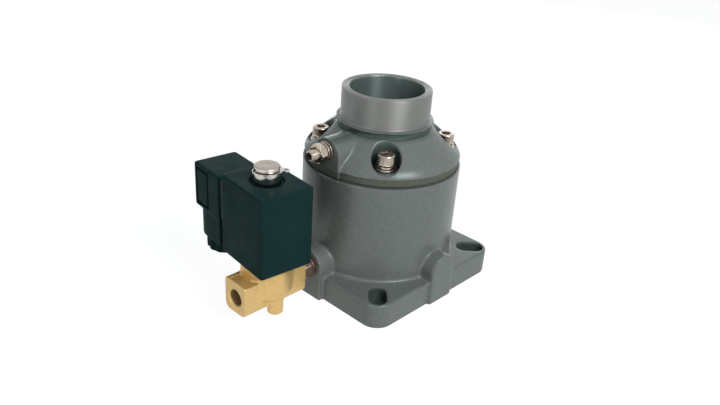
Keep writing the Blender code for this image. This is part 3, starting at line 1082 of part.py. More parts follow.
def make_plug():
    """Cable plug: gasket, terminal insert and blades, housing with its gland, and its screw."""
    gasket_back = SOCKET_FACE + SEAT_GAP
    margin = PLUG_GASKET_MARGIN
    half = SOCKET_BASE_HALF_WIDTH + margin
    tall = SOCKET_BASE_HEIGHT / 2 + margin
    rim = rounded_rectangle((-half, -tall), (half, tall), RIM_CORNER)
    window_half, window_tall = half - PLUG_GASKET_WIDTH, tall - PLUG_GASKET_WIDTH
    window = rounded_rectangle((-window_half, -window_tall), (window_half, window_tall), WINDOW_CORNER)
    gasket = facing(extruded([rim, window], gasket_back, gasket_back + PLUG_GASKET_THICKNESS), (0, 1, 0))
    add_piece("plug_gasket", gasket, RUBBER, coil_frame, (0, 0, PLUG_CENTRE))

    for number, (x, z) in enumerate(blade_places(), 1):
        blade = blade_box(x, z, 0.0, gasket_back, gasket_back + BLADE_LENGTH)
        add_piece(f"terminal_blade_{number}", blade, STEEL, coil_frame)

    housing = add_piece("plug_housing", block((-PLUG_HALF_WIDTH, PLUG_BACK, PLUG_LOW),
                                              (PLUG_HALF_WIDTH, PLUG_FRONT, PLUG_HIGH)), PLASTIC, coil_frame)
    round_edges(housing, PLUG_EDGE_RADIUS)
    corner = GLAND_NECK_CORNER
    outer = PLUG_BACK + GLAND_NECK_REACH
    side = PLUG_HALF_WIDTH - GLAND_NECK_INSET
    back = PLUG_BACK + GLAND_NECK_INSET
    neck = [(side, back)] + arc((side - corner, outer - corner), corner, 0, 90, 5)
    neck += arc((corner - side, outer - corner), corner, 90, 180, 5) + [(-side, back)]
    join(housing, "gland_neck", extruded([neck], GLAND_NECK_BASE, PLUG_LOW + GLAND_NECK_ROOT), coil_frame)
    stub = [((0, GLAND_Y, GLAND_NECK_BASE + 2 * CUT_PAST), (0, GLAND_Y, GLAND_STUB_BASE))]
    join(housing, "gland_stub", pins(stub, GLAND_STUB_RADIUS, MEDIUM_STEPS), coil_frame)
    inside = PLUG_HALF_WIDTH - PLUG_WALL
    inside_low = PLUG_LOW + PLUG_WALL
    inside_high = PLUG_HIGH - PLUG_WALL
    cut(housing, "plug_cavity", block((-inside, PLUG_BACK - CUT_PAST, inside_low),
                                      (inside, PLUG_BACK + PLUG_CAVITY_DEPTH, inside_high)), coil_frame)
    gland_bore = pins([((0, GLAND_Y, GLAND_STUB_BASE - CUT_PAST), (0, GLAND_Y, inside_low + CUT_PAST))],
                      GLAND_BORE_RADIUS, SMALL_STEPS)
    cut(housing, "gland_bore", gland_bore, coil_frame)
    head_floor = PLUG_FRONT - PLUG_SCREW_HEAD_HEIGHT
    outside = PLUG_FRONT + CUT_PAST
    hole = pins([((0, PLUG_BACK, PLUG_CENTRE), (0, outside, PLUG_CENTRE))],
                PLUG_SCREW_RADIUS + SEAT_GAP, SMALL_STEPS)
    cut(housing, "plug_screw_hole", hole, coil_frame)
    recess = pins([((0, head_floor - SEAT_GAP, PLUG_CENTRE), (0, outside, PLUG_CENTRE))],
                  PLUG_SCREW_HEAD_RADIUS + SEAT_GAP, SMALL_STEPS)
    cut(housing, "plug_screw_recess", recess, coil_frame)
    panel_front = PLUG_FRONT - PANEL_MARGIN
    panel_back = panel_front - PANEL_LENGTH
    panel_low, panel_high = PLUG_LOW + PANEL_MARGIN, PLUG_HIGH - PANEL_MARGIN
    rim = rounded_rectangle((panel_back, panel_low), (panel_front, panel_high), RIM_CORNER)
    island = rounded_rectangle((panel_back + PANEL_GROOVE, panel_low + PANEL_GROOVE),
                               (panel_front - PANEL_GROOVE, panel_high - PANEL_GROOVE), WINDOW_CORNER)
    for name, direction in (("left_panel", -1), ("right_panel", 1)):
        outlines = [[(direction * y, z) for y, z in outline] for outline in (rim, island)]
        groove = extruded(outlines, PLUG_HALF_WIDTH - PANEL_DEPTH, PLUG_HALF_WIDTH + CUT_PAST)
        cut(housing, name, facing(groove, (direction, 0, 0)), coil_frame)

    room = inside - SEAT_GAP
    insert_low = inside_low + SEAT_GAP
    insert_high = inside_high - SEAT_GAP
    insert = add_piece("terminal_insert", block((-room, PLUG_BACK + INSERT_INSET, insert_low),
                                                (room, PLUG_BACK + INSERT_DEPTH, insert_high)),
                       PLASTIC, coil_frame)
    for number, (x, z) in enumerate(blade_places(), 1):
        slot = blade_box(x, z, SEAT_GAP, PLUG_BACK, gasket_back + BLADE_LENGTH + SEAT_GAP)
        cut(insert, f"blade_slot_{number}", slot, coil_frame)
    cut(insert, "insert_screw_hole", pins([((0, PLUG_BACK, PLUG_CENTRE), (0, PLUG_FRONT, PLUG_CENTRE))],
                                          PLUG_SCREW_RADIUS + SEAT_GAP, SMALL_STEPS), coil_frame)

    screw = screw_mesh(PLUG_SCREW_RADIUS, head_floor - SOCKET_FACE + PLUG_SCREW_GRIP,
                       PLUG_SCREW_HEAD_RADIUS, PLUG_SCREW_HEAD_HEIGHT, SMALL_STEPS)
    screw = add_piece("plug_screw", facing(screw, (0, 1, 0)), STEEL, coil_frame, (0, head_floor, PLUG_CENTRE))
    past = PLUG_SCREW_HEAD_RADIUS + CUT_PAST
    slot = block((-past, PLUG_SCREW_HEAD_HEIGHT - PLUG_SCREW_SLOT_DEPTH, -PLUG_SCREW_SLOT_WIDTH / 2),
                 (past, PLUG_SCREW_HEAD_HEIGHT + CUT_PAST, PLUG_SCREW_SLOT_WIDTH / 2))
    cut(screw, "plug_screw_slot", slot, coil_frame, (0, head_floor, PLUG_CENTRE))

    ribs = []
    for i in range(2 * GLAND_RIB_COUNT):
        radius = GLAND_NUT_RADIUS - GLAND_RIB_DEPTH * (i % 2)
        width = math.pi / (2 * GLAND_RIB_COUNT) * GLAND_RIB_SHARE
        angle = math.pi * i / GLAND_RIB_COUNT
        ribs += [(radius * math.cos(angle - width), radius * math.sin(angle - width)),
                 (radius * math.cos(angle + width), radius * math.sin(angle + width))]
    nut = add_piece("gland_nut", extruded([ribs], GLAND_NUT_BASE, GLAND_NUT_TOP), PLASTIC,
                    coil_frame, (0, GLAND_Y, 0))
    shelf = GLAND_SEAL_BASE - SEAT_GAP
    bore = GLAND_STUB_RADIUS + SEAT_GAP
    cut(nut, "gland_nut_bore", turned([
        (0.0, GLAND_NUT_TOP + CUT_PAST), (bore, GLAND_NUT_TOP + CUT_PAST),
        (bore, shelf), (GLAND_NUT_HOLE_RADIUS, shelf),
        (GLAND_NUT_HOLE_RADIUS, GLAND_NUT_BASE - CUT_PAST), (0.0, GLAND_NUT_BASE - CUT_PAST)], GLAND_STEPS),
        coil_frame, (0, GLAND_Y, 0))
    seal = ring(GLAND_SEAL_HOLE_RADIUS, GLAND_STUB_RADIUS, GLAND_SEAL_BASE, GLAND_SEAL_TOP, MEDIUM_STEPS)
    add_piece("gland_seal", seal, RUBBER, coil_frame, (0, GLAND_Y, 0))


chamber_core, screw_holes = make_valve_body()
make_cover(screw_holes)
make_gasket(chamber_core, screw_holes)
make_cover_screws()
make_bleed_screw()
make_valve()
make_flange_seal()
make_nipple()
make_solenoid_body()
make_armature()
make_coil()
make_plug()
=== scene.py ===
# %% [markdown]
# # An air intake valve, dressed over its frame
#
# The valve sits on the intake of a screw compressor. A cast body carries a conical cover with a
# pipe neck, and a small brass solenoid valve with a black coil hangs on its side. The frame
# gives every piece its place and size in metres, with +Z up and the mounting face at zero.
# This lesson gives each visible piece a finer surface and a finish that looks like the metal.

import json
import math

import bmesh
import bpy
import numpy as np
from mathutils import Matrix, Vector


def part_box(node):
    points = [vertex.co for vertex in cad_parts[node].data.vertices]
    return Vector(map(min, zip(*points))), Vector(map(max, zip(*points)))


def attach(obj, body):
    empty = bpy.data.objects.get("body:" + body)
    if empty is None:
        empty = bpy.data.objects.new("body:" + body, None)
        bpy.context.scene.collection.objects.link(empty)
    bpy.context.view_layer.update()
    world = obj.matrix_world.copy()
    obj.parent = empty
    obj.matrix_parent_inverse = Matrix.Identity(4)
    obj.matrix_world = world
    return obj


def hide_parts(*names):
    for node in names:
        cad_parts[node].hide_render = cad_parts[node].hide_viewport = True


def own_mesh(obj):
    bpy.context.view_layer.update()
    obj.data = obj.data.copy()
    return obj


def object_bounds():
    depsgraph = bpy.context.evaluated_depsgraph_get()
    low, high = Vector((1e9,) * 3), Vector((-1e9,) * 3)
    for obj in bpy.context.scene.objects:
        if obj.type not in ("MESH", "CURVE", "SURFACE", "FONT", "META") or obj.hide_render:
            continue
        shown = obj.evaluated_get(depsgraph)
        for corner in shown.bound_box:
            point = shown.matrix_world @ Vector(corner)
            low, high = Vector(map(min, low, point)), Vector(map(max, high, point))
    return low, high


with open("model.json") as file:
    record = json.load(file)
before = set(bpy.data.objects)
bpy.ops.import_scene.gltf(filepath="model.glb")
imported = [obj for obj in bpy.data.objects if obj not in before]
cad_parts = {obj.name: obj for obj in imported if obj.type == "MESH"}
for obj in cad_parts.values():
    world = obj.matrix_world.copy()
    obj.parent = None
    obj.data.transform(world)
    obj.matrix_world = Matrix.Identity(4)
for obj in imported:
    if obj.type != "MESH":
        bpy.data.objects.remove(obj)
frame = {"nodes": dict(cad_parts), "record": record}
cad_low, cad_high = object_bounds()
MM = 0.001
print("frame:", len(frame["nodes"]), "nodes, box", tuple(cad_low), tuple(cad_high))


def box(node):
    """Lowest and highest corner of a node, as two arrays."""
    low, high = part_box(node)
    return np.array(low), np.array(high)


def middle(node):
    """Centre of a node's box."""
    low, high = box(node)
    return (low + high) / 2


# %% [markdown]
# ## Camera
#
# The photograph looks down on the valve from its front left corner. The place and the angles
# were found by matching the flange's corners and the rings of the neck. The camera also leans
# a little to one side, as one held by hand does, so it gets its own roll about the line of sight.

# %% Camera
CAMERA_PLACE = Vector((-309.3, -268.7, 249.0)) * MM
CAMERA_AZIMUTH = math.radians(-47.44)
CAMERA_ELEVATION = math.radians(26.66)
CAMERA_ROLL = math.radians(4.06)
CAMERA_LENS = 35.93

back = Vector((math.sin(CAMERA_AZIMUTH) * math.cos(CAMERA_ELEVATION),
               -math.cos(CAMERA_AZIMUTH) * math.cos(CAMERA_ELEVATION),
               math.sin(CAMERA_ELEVATION)))
right = Vector((0, 0, 1)).cross(back).normalized()
upward = back.cross(right)
rolled_right = right * math.cos(CAMERA_ROLL) + upward * math.sin(CAMERA_ROLL)
rolled_up = upward * math.cos(CAMERA_ROLL) - right * math.sin(CAMERA_ROLL)
camera = bpy.data.objects.new("camera", bpy.data.cameras.new("camera"))
camera.data.lens = CAMERA_LENS
camera.data.clip_start = 0.01
camera.matrix_world = (Matrix.Translation(CAMERA_PLACE)
                       @ Matrix((rolled_right, rolled_up, back)).transposed().to_4x4())
bpy.context.scene.collection.objects.link(camera)
bpy.context.scene.camera = camera
bpy.context.scene.view_settings.view_transform = "Standard"

# %% [markdown]
# ## Light and floor
#
# Satin metal shows the shape of its lamps, so the lamps are large and soft. The key lamp stands
# high up, to the right of the camera, and draws the bright band down the neck. A weak one low on
# the left opens the coil's side, and two more behind give the back its form. The world adds a
# faint cool light from all round, so the shade turns green. Floor and world look white to the
# camera and in reflections, and the floor keeps some of its own shading for the soft shadow.

# %% Light and floor
def lamp(name, place, aim, size, watts):
    """Square area lamp at a place, turned towards a point."""
    light = bpy.data.lights.new(name, "AREA")
    light.shape = "SQUARE"
    light.size = size
    light.energy = watts
    holder = bpy.data.objects.new(name, light)
    holder.location = place
    holder.rotation_euler = (Vector(aim) - Vector(place)).to_track_quat("-Z", "Y").to_euler()
    bpy.context.scene.collection.objects.link(holder)


LAMP_AIM = (0.0, 0.0, 0.05)
lamp("key_lamp", (-0.14, -0.74, 0.68), LAMP_AIM, 0.45, 7.6)
lamp("left_lamp", (-0.98, -0.12, 0.09), LAMP_AIM, 0.35, 1.5)
lamp("right_lamp", (0.88, 0.42, 0.25), LAMP_AIM, 0.5, 1.1)
lamp("back_lamp", (0.45, 0.88, 0.14), LAMP_AIM, 0.5, 1.3)


def node_of(tree, kind, **values):
    """New shader node with its properties set."""
    made = tree.nodes.new(kind)
    for key, value in values.items():
        setattr(made, key, value)
    return made


def white_to_the_eye(tree, target, plain, white_share, strength=1.0):
    """Mix a plain shader with white light where the camera or a reflection looks at it."""
    rays = node_of(tree, "ShaderNodeLightPath")
    seen = node_of(tree, "ShaderNodeMath", operation="MAXIMUM")
    through = node_of(tree, "ShaderNodeMath", operation="MAXIMUM")
    share = node_of(tree, "ShaderNodeMath", operation="MULTIPLY")
    glow = node_of(tree, "ShaderNodeEmission")
    mix = node_of(tree, "ShaderNodeMixShader")
    share.inputs[1].default_value = white_share
    glow.inputs["Color"].default_value = (1.0, 1.0, 1.0, 1.0)
    glow.inputs["Strength"].default_value = strength
    tree.links.new(rays.outputs["Is Camera Ray"], seen.inputs[0])
    tree.links.new(rays.outputs["Is Glossy Ray"], seen.inputs[1])
    tree.links.new(seen.outputs[0], through.inputs[0])
    tree.links.new(rays.outputs["Is Transmission Ray"], through.inputs[1])
    tree.links.new(through.outputs[0], share.inputs[0])
    tree.links.new(share.outputs[0], mix.inputs[0])
    tree.links.new(plain, mix.inputs[1])
    tree.links.new(glow.outputs[0], mix.inputs[2])
    tree.links.new(mix.outputs[0], target)


world = bpy.data.worlds.new("studio")
bpy.context.scene.world = world
world.use_nodes = True
sky = world.node_tree.nodes["Background"]
sky.inputs["Color"].default_value = (0.50, 1.0, 0.94, 1.0)
sky.inputs["Strength"].default_value = 0.14
white_to_the_eye(world.node_tree, world.node_tree.nodes["World Output"].inputs["Surface"],
                 sky.outputs[0], 1.0)

FLOOR_HALF, FLOOR_GAP = 4.0, 0.3 * MM
FLOOR_GLOW_SHARE, FLOOR_GLOW = 0.74, 1.26
floor_mesh = bpy.data.meshes.new("floor")
floor_mesh.from_pydata([(-FLOOR_HALF, -FLOOR_HALF, 0), (FLOOR_HALF, -FLOOR_HALF, 0),
                        (FLOOR_HALF, FLOOR_HALF, 0), (-FLOOR_HALF, FLOOR_HALF, 0)], [], [(0, 1, 2, 3)])
floor = bpy.data.objects.new("floor", floor_mesh)
floor.location.z = cad_low.z - FLOOR_GAP
bpy.context.scene.collection.objects.link(floor)
floor_finish = bpy.data.materials.new("floor")
floor_finish.use_nodes = True
floor_base = floor_finish.node_tree.nodes["Principled BSDF"]
floor_base.inputs["Base Color"].default_value = (0.58, 0.60, 0.60, 1.0)
floor_base.inputs["Roughness"].default_value = 0.9
white_to_the_eye(floor_finish.node_tree,
                 floor_finish.node_tree.nodes["Material Output"].inputs["Surface"],
                 floor_base.outputs[0], FLOOR_GLOW_SHARE, FLOOR_GLOW)
floor_mesh.materials.append(floor_finish)

# %% [markdown]
# ## Finishes
#
# One recipe serves every finish. A slow noise changes the colour a little from place to place,
# a finer one changes how sharp the reflections are, and a third raises the grain. What tells
# cast metal from turned metal or moulded plastic is the scale and strength of each.
#
# Turned faces carry fine rings from the tool, which stretch each reflection across them, so their
# gloss gets a direction: round the axis. Deep in their pockets the castings get painted shade, and
# they read how deep a point lies from a value that is stored with the mesh. A little tint in the
# gloss of the castings and of the plastic gives them the cool sheen that coated metal and plastic have.

# %% A recipe for a finish
def noise_at(tree, scale, detail=3.0, stretch=(1.0, 1.0, 1.0)):
    """Noise in the object's own metres, stretched where lines run one way."""
    place = node_of(tree, "ShaderNodeTexCoord")
    mapping = node_of(tree, "ShaderNodeMapping")
    mapping.inputs["Scale"].default_value = stretch
    noise = node_of(tree, "ShaderNodeTexNoise")
    noise.inputs["Scale"].default_value = scale
    noise.inputs["Detail"].default_value = detail
    tree.links.new(place.outputs["Object"], mapping.inputs["Vector"])
    tree.links.new(mapping.outputs["Vector"], noise.inputs["Vector"])
    return noise.outputs["Fac"]


NOISE_LOW, NOISE_HIGH = 0.3, 0.7


def spread(tree, value, low, high):
    """Carry the middle of a noise, where most of it lies, onto the range from low to high."""
    fit = node_of(tree, "ShaderNodeMapRange")
    fit.inputs["From Min"].default_value = NOISE_LOW
    fit.inputs["From Max"].default_value = NOISE_HIGH
    fit.inputs["To Min"].default_value = low
    fit.inputs["To Max"].default_value = high
    tree.links.new(value, fit.inputs["Value"])
    return fit.outputs["Result"]


QUARTER_TURN = 0.25


def finish(name, colour, metallic, roughness, mottle=0.08, mottle_scale=60.0, grain=0.1,
           grain_scale=900.0, grain_depth=0.05 * MM, stretch=(1.0, 1.0, 1.0), specular=0.5,
           specular_tint=(1.0, 1.0, 1.0), recess=None, lathe=0.0):
    """Material with uneven colour, uneven gloss and a raised grain. With a recess colour, which is
    painted shade, the mesh's own value "recess" carries the surface from its colour, at 0, to that one, at
    1.
    Lathe is how far the marks of turning stretch a reflection."""
    material = bpy.data.materials.new(name)
    material.use_nodes = True
    tree = material.node_tree
    shader = tree.nodes["Principled BSDF"]
    shader.inputs["Metallic"].default_value = metallic
    shader.inputs["Specular IOR Level"].default_value = specular
    shader.inputs["Specular Tint"].default_value = (*specular_tint, 1.0)
    tint = node_of(tree, "ShaderNodeMix", data_type="RGBA")
    tint.inputs["A"].default_value = (*[c * (1 - mottle) for c in colour], 1.0)
    tint.inputs["B"].default_value = (*[c * (1 + mottle) for c in colour], 1.0)
    tree.links.new(spread(tree, noise_at(tree, mottle_scale, 4.0), 0.0, 1.0), tint.inputs["Factor"])
    shown = tint.outputs["Result"]
    # The recess colour is painted shade, mixed in by the depth stored with the mesh.
    if recess is not None:
        deep = node_of(tree, "ShaderNodeMix", data_type="RGBA")
        deep.inputs["B"].default_value = (*recess, 1.0)
        stored = node_of(tree, "ShaderNodeAttribute", attribute_name="recess")
        tree.links.new(stored.outputs["Fac"], deep.inputs["Factor"])
        tree.links.new(shown, deep.inputs["A"])
        shown = deep.outputs["Result"]
    tree.links.new(shown, shader.inputs["Base Color"])
    gloss = noise_at(tree, mottle_scale * 2.7, 5.0, stretch)
    tree.links.new(spread(tree, gloss, roughness * 0.85, roughness * 1.15), shader.inputs["Roughness"])
    bump = node_of(tree, "ShaderNodeBump")
    bump.inputs["Strength"].default_value = grain
    bump.inputs["Distance"].default_value = grain_depth
    tree.links.new(noise_at(tree, grain_scale, 2.0, stretch), bump.inputs["Height"])
    tree.links.new(bump.outputs["Normal"], shader.inputs["Normal"])
    if lathe:
        around_axis = node_of(tree, "ShaderNodeTangent", direction_type="RADIAL", axis="Z")
        tree.links.new(around_axis.outputs["Tangent"], shader.inputs["Tangent"])
        shader.inputs["Anisotropic"].default_value = lathe
        shader.inputs["Anisotropic Rotation"].default_value = QUARTER_TURN
    return material


# %% The finishes of this valve
# The castings' recess colour is painted shade for their pockets, slots and the groove.
CAST = finish("die_cast_grey", (0.156, 0.165, 0.158), 0.08, 0.31, mottle=0.08, mottle_scale=430,
              grain=1.0, grain_scale=850, grain_depth=0.06 * MM, specular=0.26,
              specular_tint=(0.75, 0.97, 0.94), recess=(0.060, 0.082, 0.076))
# The band's darker colour is painted shade, from the lip that overhangs it.
CAST_BAND_SHADE = finish("cast_band_painted_shade", (0.100, 0.106, 0.088), 0.1, 0.62, mottle=0.15, mottle_scale=560,
                  grain=1.0, grain_scale=1000, grain_depth=0.12 * MM, specular=0.2)
TURNED = finish("turned_grey", (0.228, 0.231, 0.220), 0.60, 0.50, mottle=0.05, mottle_scale=90,
                grain=0.35, grain_scale=30, grain_depth=0.02 * MM, stretch=(1, 1, 90), specular=0.4,
                lathe=0.85)
# The bored finish is smoother, and its greener colour is painted shade inside the neck.
BORED_AND_SHADED = finish("bored_grey_painted_shade", (0.19, 0.238, 0.232), 0.62, 0.30, mottle=0.06, mottle_scale=90,
              grain=0.35, grain_scale=30, grain_depth=0.02 * MM, stretch=(1, 1, 90), specular=0.4,
              lathe=0.9)
BARE = finish("bare_turned_metal", (0.42, 0.43, 0.43), 1.0, 0.30, mottle=0.05,
              grain=0.3, grain_scale=1200)
STEEL = finish("nickel_plated_steel", (0.45, 0.39, 0.33), 1.0, 0.24, mottle=0.16,
               mottle_scale=420, grain=0.3, grain_scale=1800)
BROWNED = finish("browned_steel", (0.47, 0.345, 0.28), 1.0, 0.34, mottle=0.2, mottle_scale=420,
                 grain=0.3, grain_scale=1800)
BRIGHT = finish("bright_plating", (0.56, 0.53, 0.50), 1.0, 0.14, mottle=0.05, mottle_scale=200,
                grain=0.06)
SATIN = finish("satin_plating", (0.35, 0.308, 0.262), 0.9, 0.38, mottle=0.06, mottle_scale=300,
               grain=0.3, grain_scale=1500)
BRASS = finish("forged_brass", (0.75, 0.495, 0.200), 0.45, 0.40, mottle=0.07, mottle_scale=700,
               grain=1.0, grain_scale=1100, grain_depth=0.08 * MM, specular=0.35)
# The darker brass inside the port is painted shade.
BRASS_PORT_SHADE = finish("brass_port_painted_shade", (0.22, 0.130, 0.050), 0.5, 0.5, mottle=0.12, mottle_scale=420,
                    grain=0.6, grain_scale=1100, specular=0.2)
COPPER = finish("soft_copper", (0.30, 0.17, 0.12), 1.0, 0.42, mottle=0.15, mottle_scale=300)
PLASTIC = finish("moulded_black", (0.0100, 0.0290, 0.0295), 0.0, 0.50, mottle=0.12,
                 mottle_scale=50, grain=0.4, grain_scale=2600, grain_depth=0.03 * MM, specular=0.025,
                 specular_tint=(0.55, 0.95, 1.0))
RUBBER = finish("black_rubber", (0.020, 0.021, 0.021), 0.0, 0.7, mottle=0.1, mottle_scale=100,
                grain=0.3, grain_scale=1600)
FIBRE = finish("gasket_sheet", (0.055, 0.060, 0.055), 0.0, 0.85, mottle=0.2, mottle_scale=500,
               grain=0.6, grain_scale=1200)
FINISH_OF_SLOT = {"casting": CAST, "machined": BARE, "steel": STEEL, "bright": BRIGHT,
                  "brass": BRASS, "copper": COPPER, "plastic": PLASTIC, "rubber": RUBBER,
                  "fibre": FIBRE}
SLOT_OF_NODE = {part["node"]: part["material_slot"] for part in frame["record"]["subparts"]}
for name, node in frame["nodes"].items():
    for material_slot in node.material_slots:
        material_slot.material = FINISH_OF_SLOT[SLOT_OF_NODE[name]]
print("finishes:", len(FINISH_OF_SLOT))

# %% [markdown]
# ## From numbers to pieces
#
# Every surface below is a grid of points, so one function can join neighbours into faces and
# one more can make the piece, hang it on its body and hide the node it stands for. Doubled
# points at seams and poles are merged first, and then all faces are turned outwards. Two more
# helpers work on a finished piece: one gives another finish to some of its faces, and the other
# stores how deep in a recess each point lies.

# %% Making a piece
BODY_OF_NODE = {node: body for body, nodes in frame["record"]["behaviour"]["bodies"].items()
                for node in nodes}


def grid_faces(rows, columns, wrap_rows, wrap_columns):
    """Four-sided faces between neighbouring rows and columns of a grid of points."""
    row = np.arange(rows if wrap_rows else rows - 1)
    column = np.arange(columns if wrap_columns else columns - 1)
    row, column = np.meshgrid(row, column, indexing="ij")
    below, beside = (row + 1) % rows, (column + 1) % columns
    corners = [row * columns + column, row * columns + beside,
               below * columns + beside, below * columns + column]
    return np.stack(corners, -1).reshape(-1, 4).tolist()


def piece(name, shells, finish_used, node, also=(), sharp=35.0):
    """Object made of closed shells of points and faces, which stands for a node."""
    work = bmesh.new()
    for points, faces in shells:
        shell = bpy.data.meshes.new(name)
        shell.from_pydata(np.asarray(points).reshape(-1, 3).tolist(), [], faces)
        work.from_mesh(shell)
        bpy.data.meshes.remove(shell)
    bmesh.ops.remove_doubles(work, verts=work.verts, dist=0.002 * MM)
    bmesh.ops.recalc_face_normals(work, faces=work.faces)
    mesh = bpy.data.meshes.new(name)
    work.to_mesh(mesh)
    work.free()
    mesh.shade_smooth()
    mesh.set_sharp_from_angle(angle=math.radians(sharp))
    mesh.materials.append(finish_used)
    made = bpy.data.objects.new(name, mesh)
    bpy.context.scene.collection.objects.link(made)
    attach(made, BODY_OF_NODE[node])
    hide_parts(node, *also)
    print(name, len(mesh.polygons), "faces")
    return made


def second_finish(made, finish_used, chosen):
    """Give another finish to the faces whose centres a test of x, y and z chooses."""
    mesh = made.data
    centres = np.empty(len(mesh.polygons) * 3)
    mesh.polygons.foreach_get("center", centres)
    slots = np.zeros(len(mesh.polygons), dtype=np.int32)
    mesh.polygons.foreach_get("material_index", slots)
    mesh.materials.append(finish_used)
    slots[chosen(*centres.reshape(-1, 3).T)] = len(mesh.materials) - 1
    mesh.polygons.foreach_set("material_index", slots)
    print(made.name, "has", finish_used.name, "on part of it")


def store_painted_shade(made, measure):
    """Store how much painted shade each point gets, from how deep in a recess it lies: 0 in the open, 1 well
    inside.
    """
    mesh = made.data
    places = np.empty(len(mesh.vertices) * 3)
    mesh.vertices.foreach_get("co", places)
    depth = np.clip(measure(*places.reshape(-1, 3).T), 0.0, 1.0)
    mesh.attributes.new("recess", "FLOAT", "POINT").data.foreach_set("value", depth.astype(np.float32))
    print(made.name, "has", int((depth > 0.5).sum()), "points in recesses")


# %% [markdown]
# ## Castings as fields
#
# A casting has no sharp inner corners: every boss flows into the wall in a fillet. Cutting and
# joining solids leaves sharp seams, so the castings are made from distances instead. A field
# gives each point of space its distance to the surface, negative inside. Joining two shapes is
# the smaller of two distances, and taking the smaller one softly makes the fillet by itself.

# %% Joining and cutting fields
def join(a, b, soft):
    """Soft minimum: a and b joined, with a fillet of about the soft length between them."""
    blend = np.maximum(soft - np.abs(a - b), 0.0) / soft
    return np.minimum(a, b) - blend * blend * soft / 4


def keep(a, b, soft):
    """Soft maximum: what is inside both, with its edge rounded by about the soft length."""
    return -join(-a, -b, soft)


def cut(a, b, soft):
    """What is inside a and outside b, with the new edge rounded."""
    return keep(a, -b, soft)


def slab(along, low, high, soft=0.5 * MM):
    """Space between two levels of one coordinate."""
    return keep(low - along, along - high, soft)


# %% [markdown]
# A field becomes a mesh in three steps. Each cell of a grid that has corners on both sides of
# the surface gets one point, at the mean of the places where its edges cross the surface. Each
# grid edge that crosses joins the four cells round it into a face. Then every point slides down
# the slope of the field until it lies on the surface, which makes flat and round walls true.

# %% From a field to a mesh
CORNERS = np.array([(i, j, k) for i in (0, 1) for j in (0, 1) for k in (0, 1)])
EDGES = [(a, b) for a in range(8) for b in range(a + 1, 8)
         if np.abs(CORNERS[a] - CORNERS[b]).sum() == 1]


def cell_points(values, axes):
    """Mean crossing point of each cell that the surface passes through, and the cells."""
    size = np.array(values.shape) - 1
    inside = sum((values[tuple(slice(c, c + n) for c, n in zip(corner, size))] < 0).astype(int)
                 for corner in CORNERS)
    cells = np.argwhere((inside > 0) & (inside < 8))
    corner_cells = cells[:, None, :] + CORNERS[None]
    value = values[tuple(np.moveaxis(corner_cells, 2, 0))]
    place = np.stack([axis[corner_cells[..., i]] for i, axis in enumerate(axes)], -1)
    total = np.zeros((len(cells), 3))
    count = np.zeros((len(cells), 1))
    for a, b in EDGES:
        crosses = ((value[:, a] < 0) != (value[:, b] < 0))[:, None]
        step = np.where(crosses, value[:, a:a + 1] - value[:, b:b + 1], 1.0)
        crossing = place[:, a] + value[:, a:a + 1] / step * (place[:, b] - place[:, a])
        total += np.where(crosses, crossing, 0.0)
        count += crosses
    return total / count, cells


def cell_faces(values, cells):
    """Face round each grid edge whose ends lie on two sides of the surface."""
    number = np.full(np.array(values.shape) - 1, -1)
    number[tuple(cells.T)] = np.arange(len(cells))
    faces = []
    for axis in range(3):
        u, v = np.eye(3, dtype=int)[(axis + 1) % 3], np.eye(3, dtype=int)[(axis + 2) % 3]
        inner = [slice(1, -1)] * 3
        inner[axis] = slice(0, -1)
        outer = [slice(1, -1)] * 3
        outer[axis] = slice(1, None)
        start, stop = values[tuple(inner)] < 0, values[tuple(outer)] < 0
        edge = np.argwhere(start != stop) + (u + v)
        loop = np.stack([number[tuple((edge - u - v).T)], number[tuple((edge - v).T)],
                         number[tuple(edge.T)], number[tuple((edge - u).T)]], -1)
        leaving = start[start != stop]
        loop[~leaving] = loop[~leaving][:, ::-1]
        faces.append(loop)
    return np.concatenate(faces)


SLIDES, LONGEST_SLIDE = 4, 0.3 * MM
NUDGE = 0.02 * MM
FLATTEST = 0.2  # a gentler slope counts as this one, so that no point jumps


def skin(field, *axes):
    """Points and faces of the surface where a field is zero. A slide moves a point against the
    field's slope, by the field's value over the square of the slope."""
    values = field(*np.meshgrid(*axes, indexing="ij"))
    points, cells = cell_points(values, axes)
    faces = cell_faces(values, cells)
    for _ in range(SLIDES):
        uphill = np.stack([field(*(points + step).T) - field(*(points - step).T)
                           for step in np.eye(3) * NUDGE], -1) / (2 * NUDGE)
        fall = field(*points.T) / np.maximum((uphill ** 2).sum(-1), FLATTEST)
        points -= uphill * np.clip(fall, -LONGEST_SLIDE, LONGEST_SLIDE)[:, None]
    print("field:", len(points), "points on the surface")
    return points, faces.tolist()


def levels(*stretches):
    """Grid levels from stretches of (start, stop, step)."""
    return np.unique(np.concatenate([np.arange(start, stop, step) for start, stop, step in stretches]))


def box_levels(low, high, margin, cell):
    """Even levels along x, y and z through a box and a margin round it."""
    return [levels((low[i] - margin, high[i] + margin, cell)) for i in range(3)]


# %% [markdown]
# ## The body casting
#
# The body is a square flange with slotted corners, a round chamber and two side bosses. Inside,
# four ribs carry the cylinder of the servo piston, and four small bosses take the cover's
# screws. The boss outlines are arches: the distance to a point above the arch's centre is
# round, and below it only the sideways part counts.

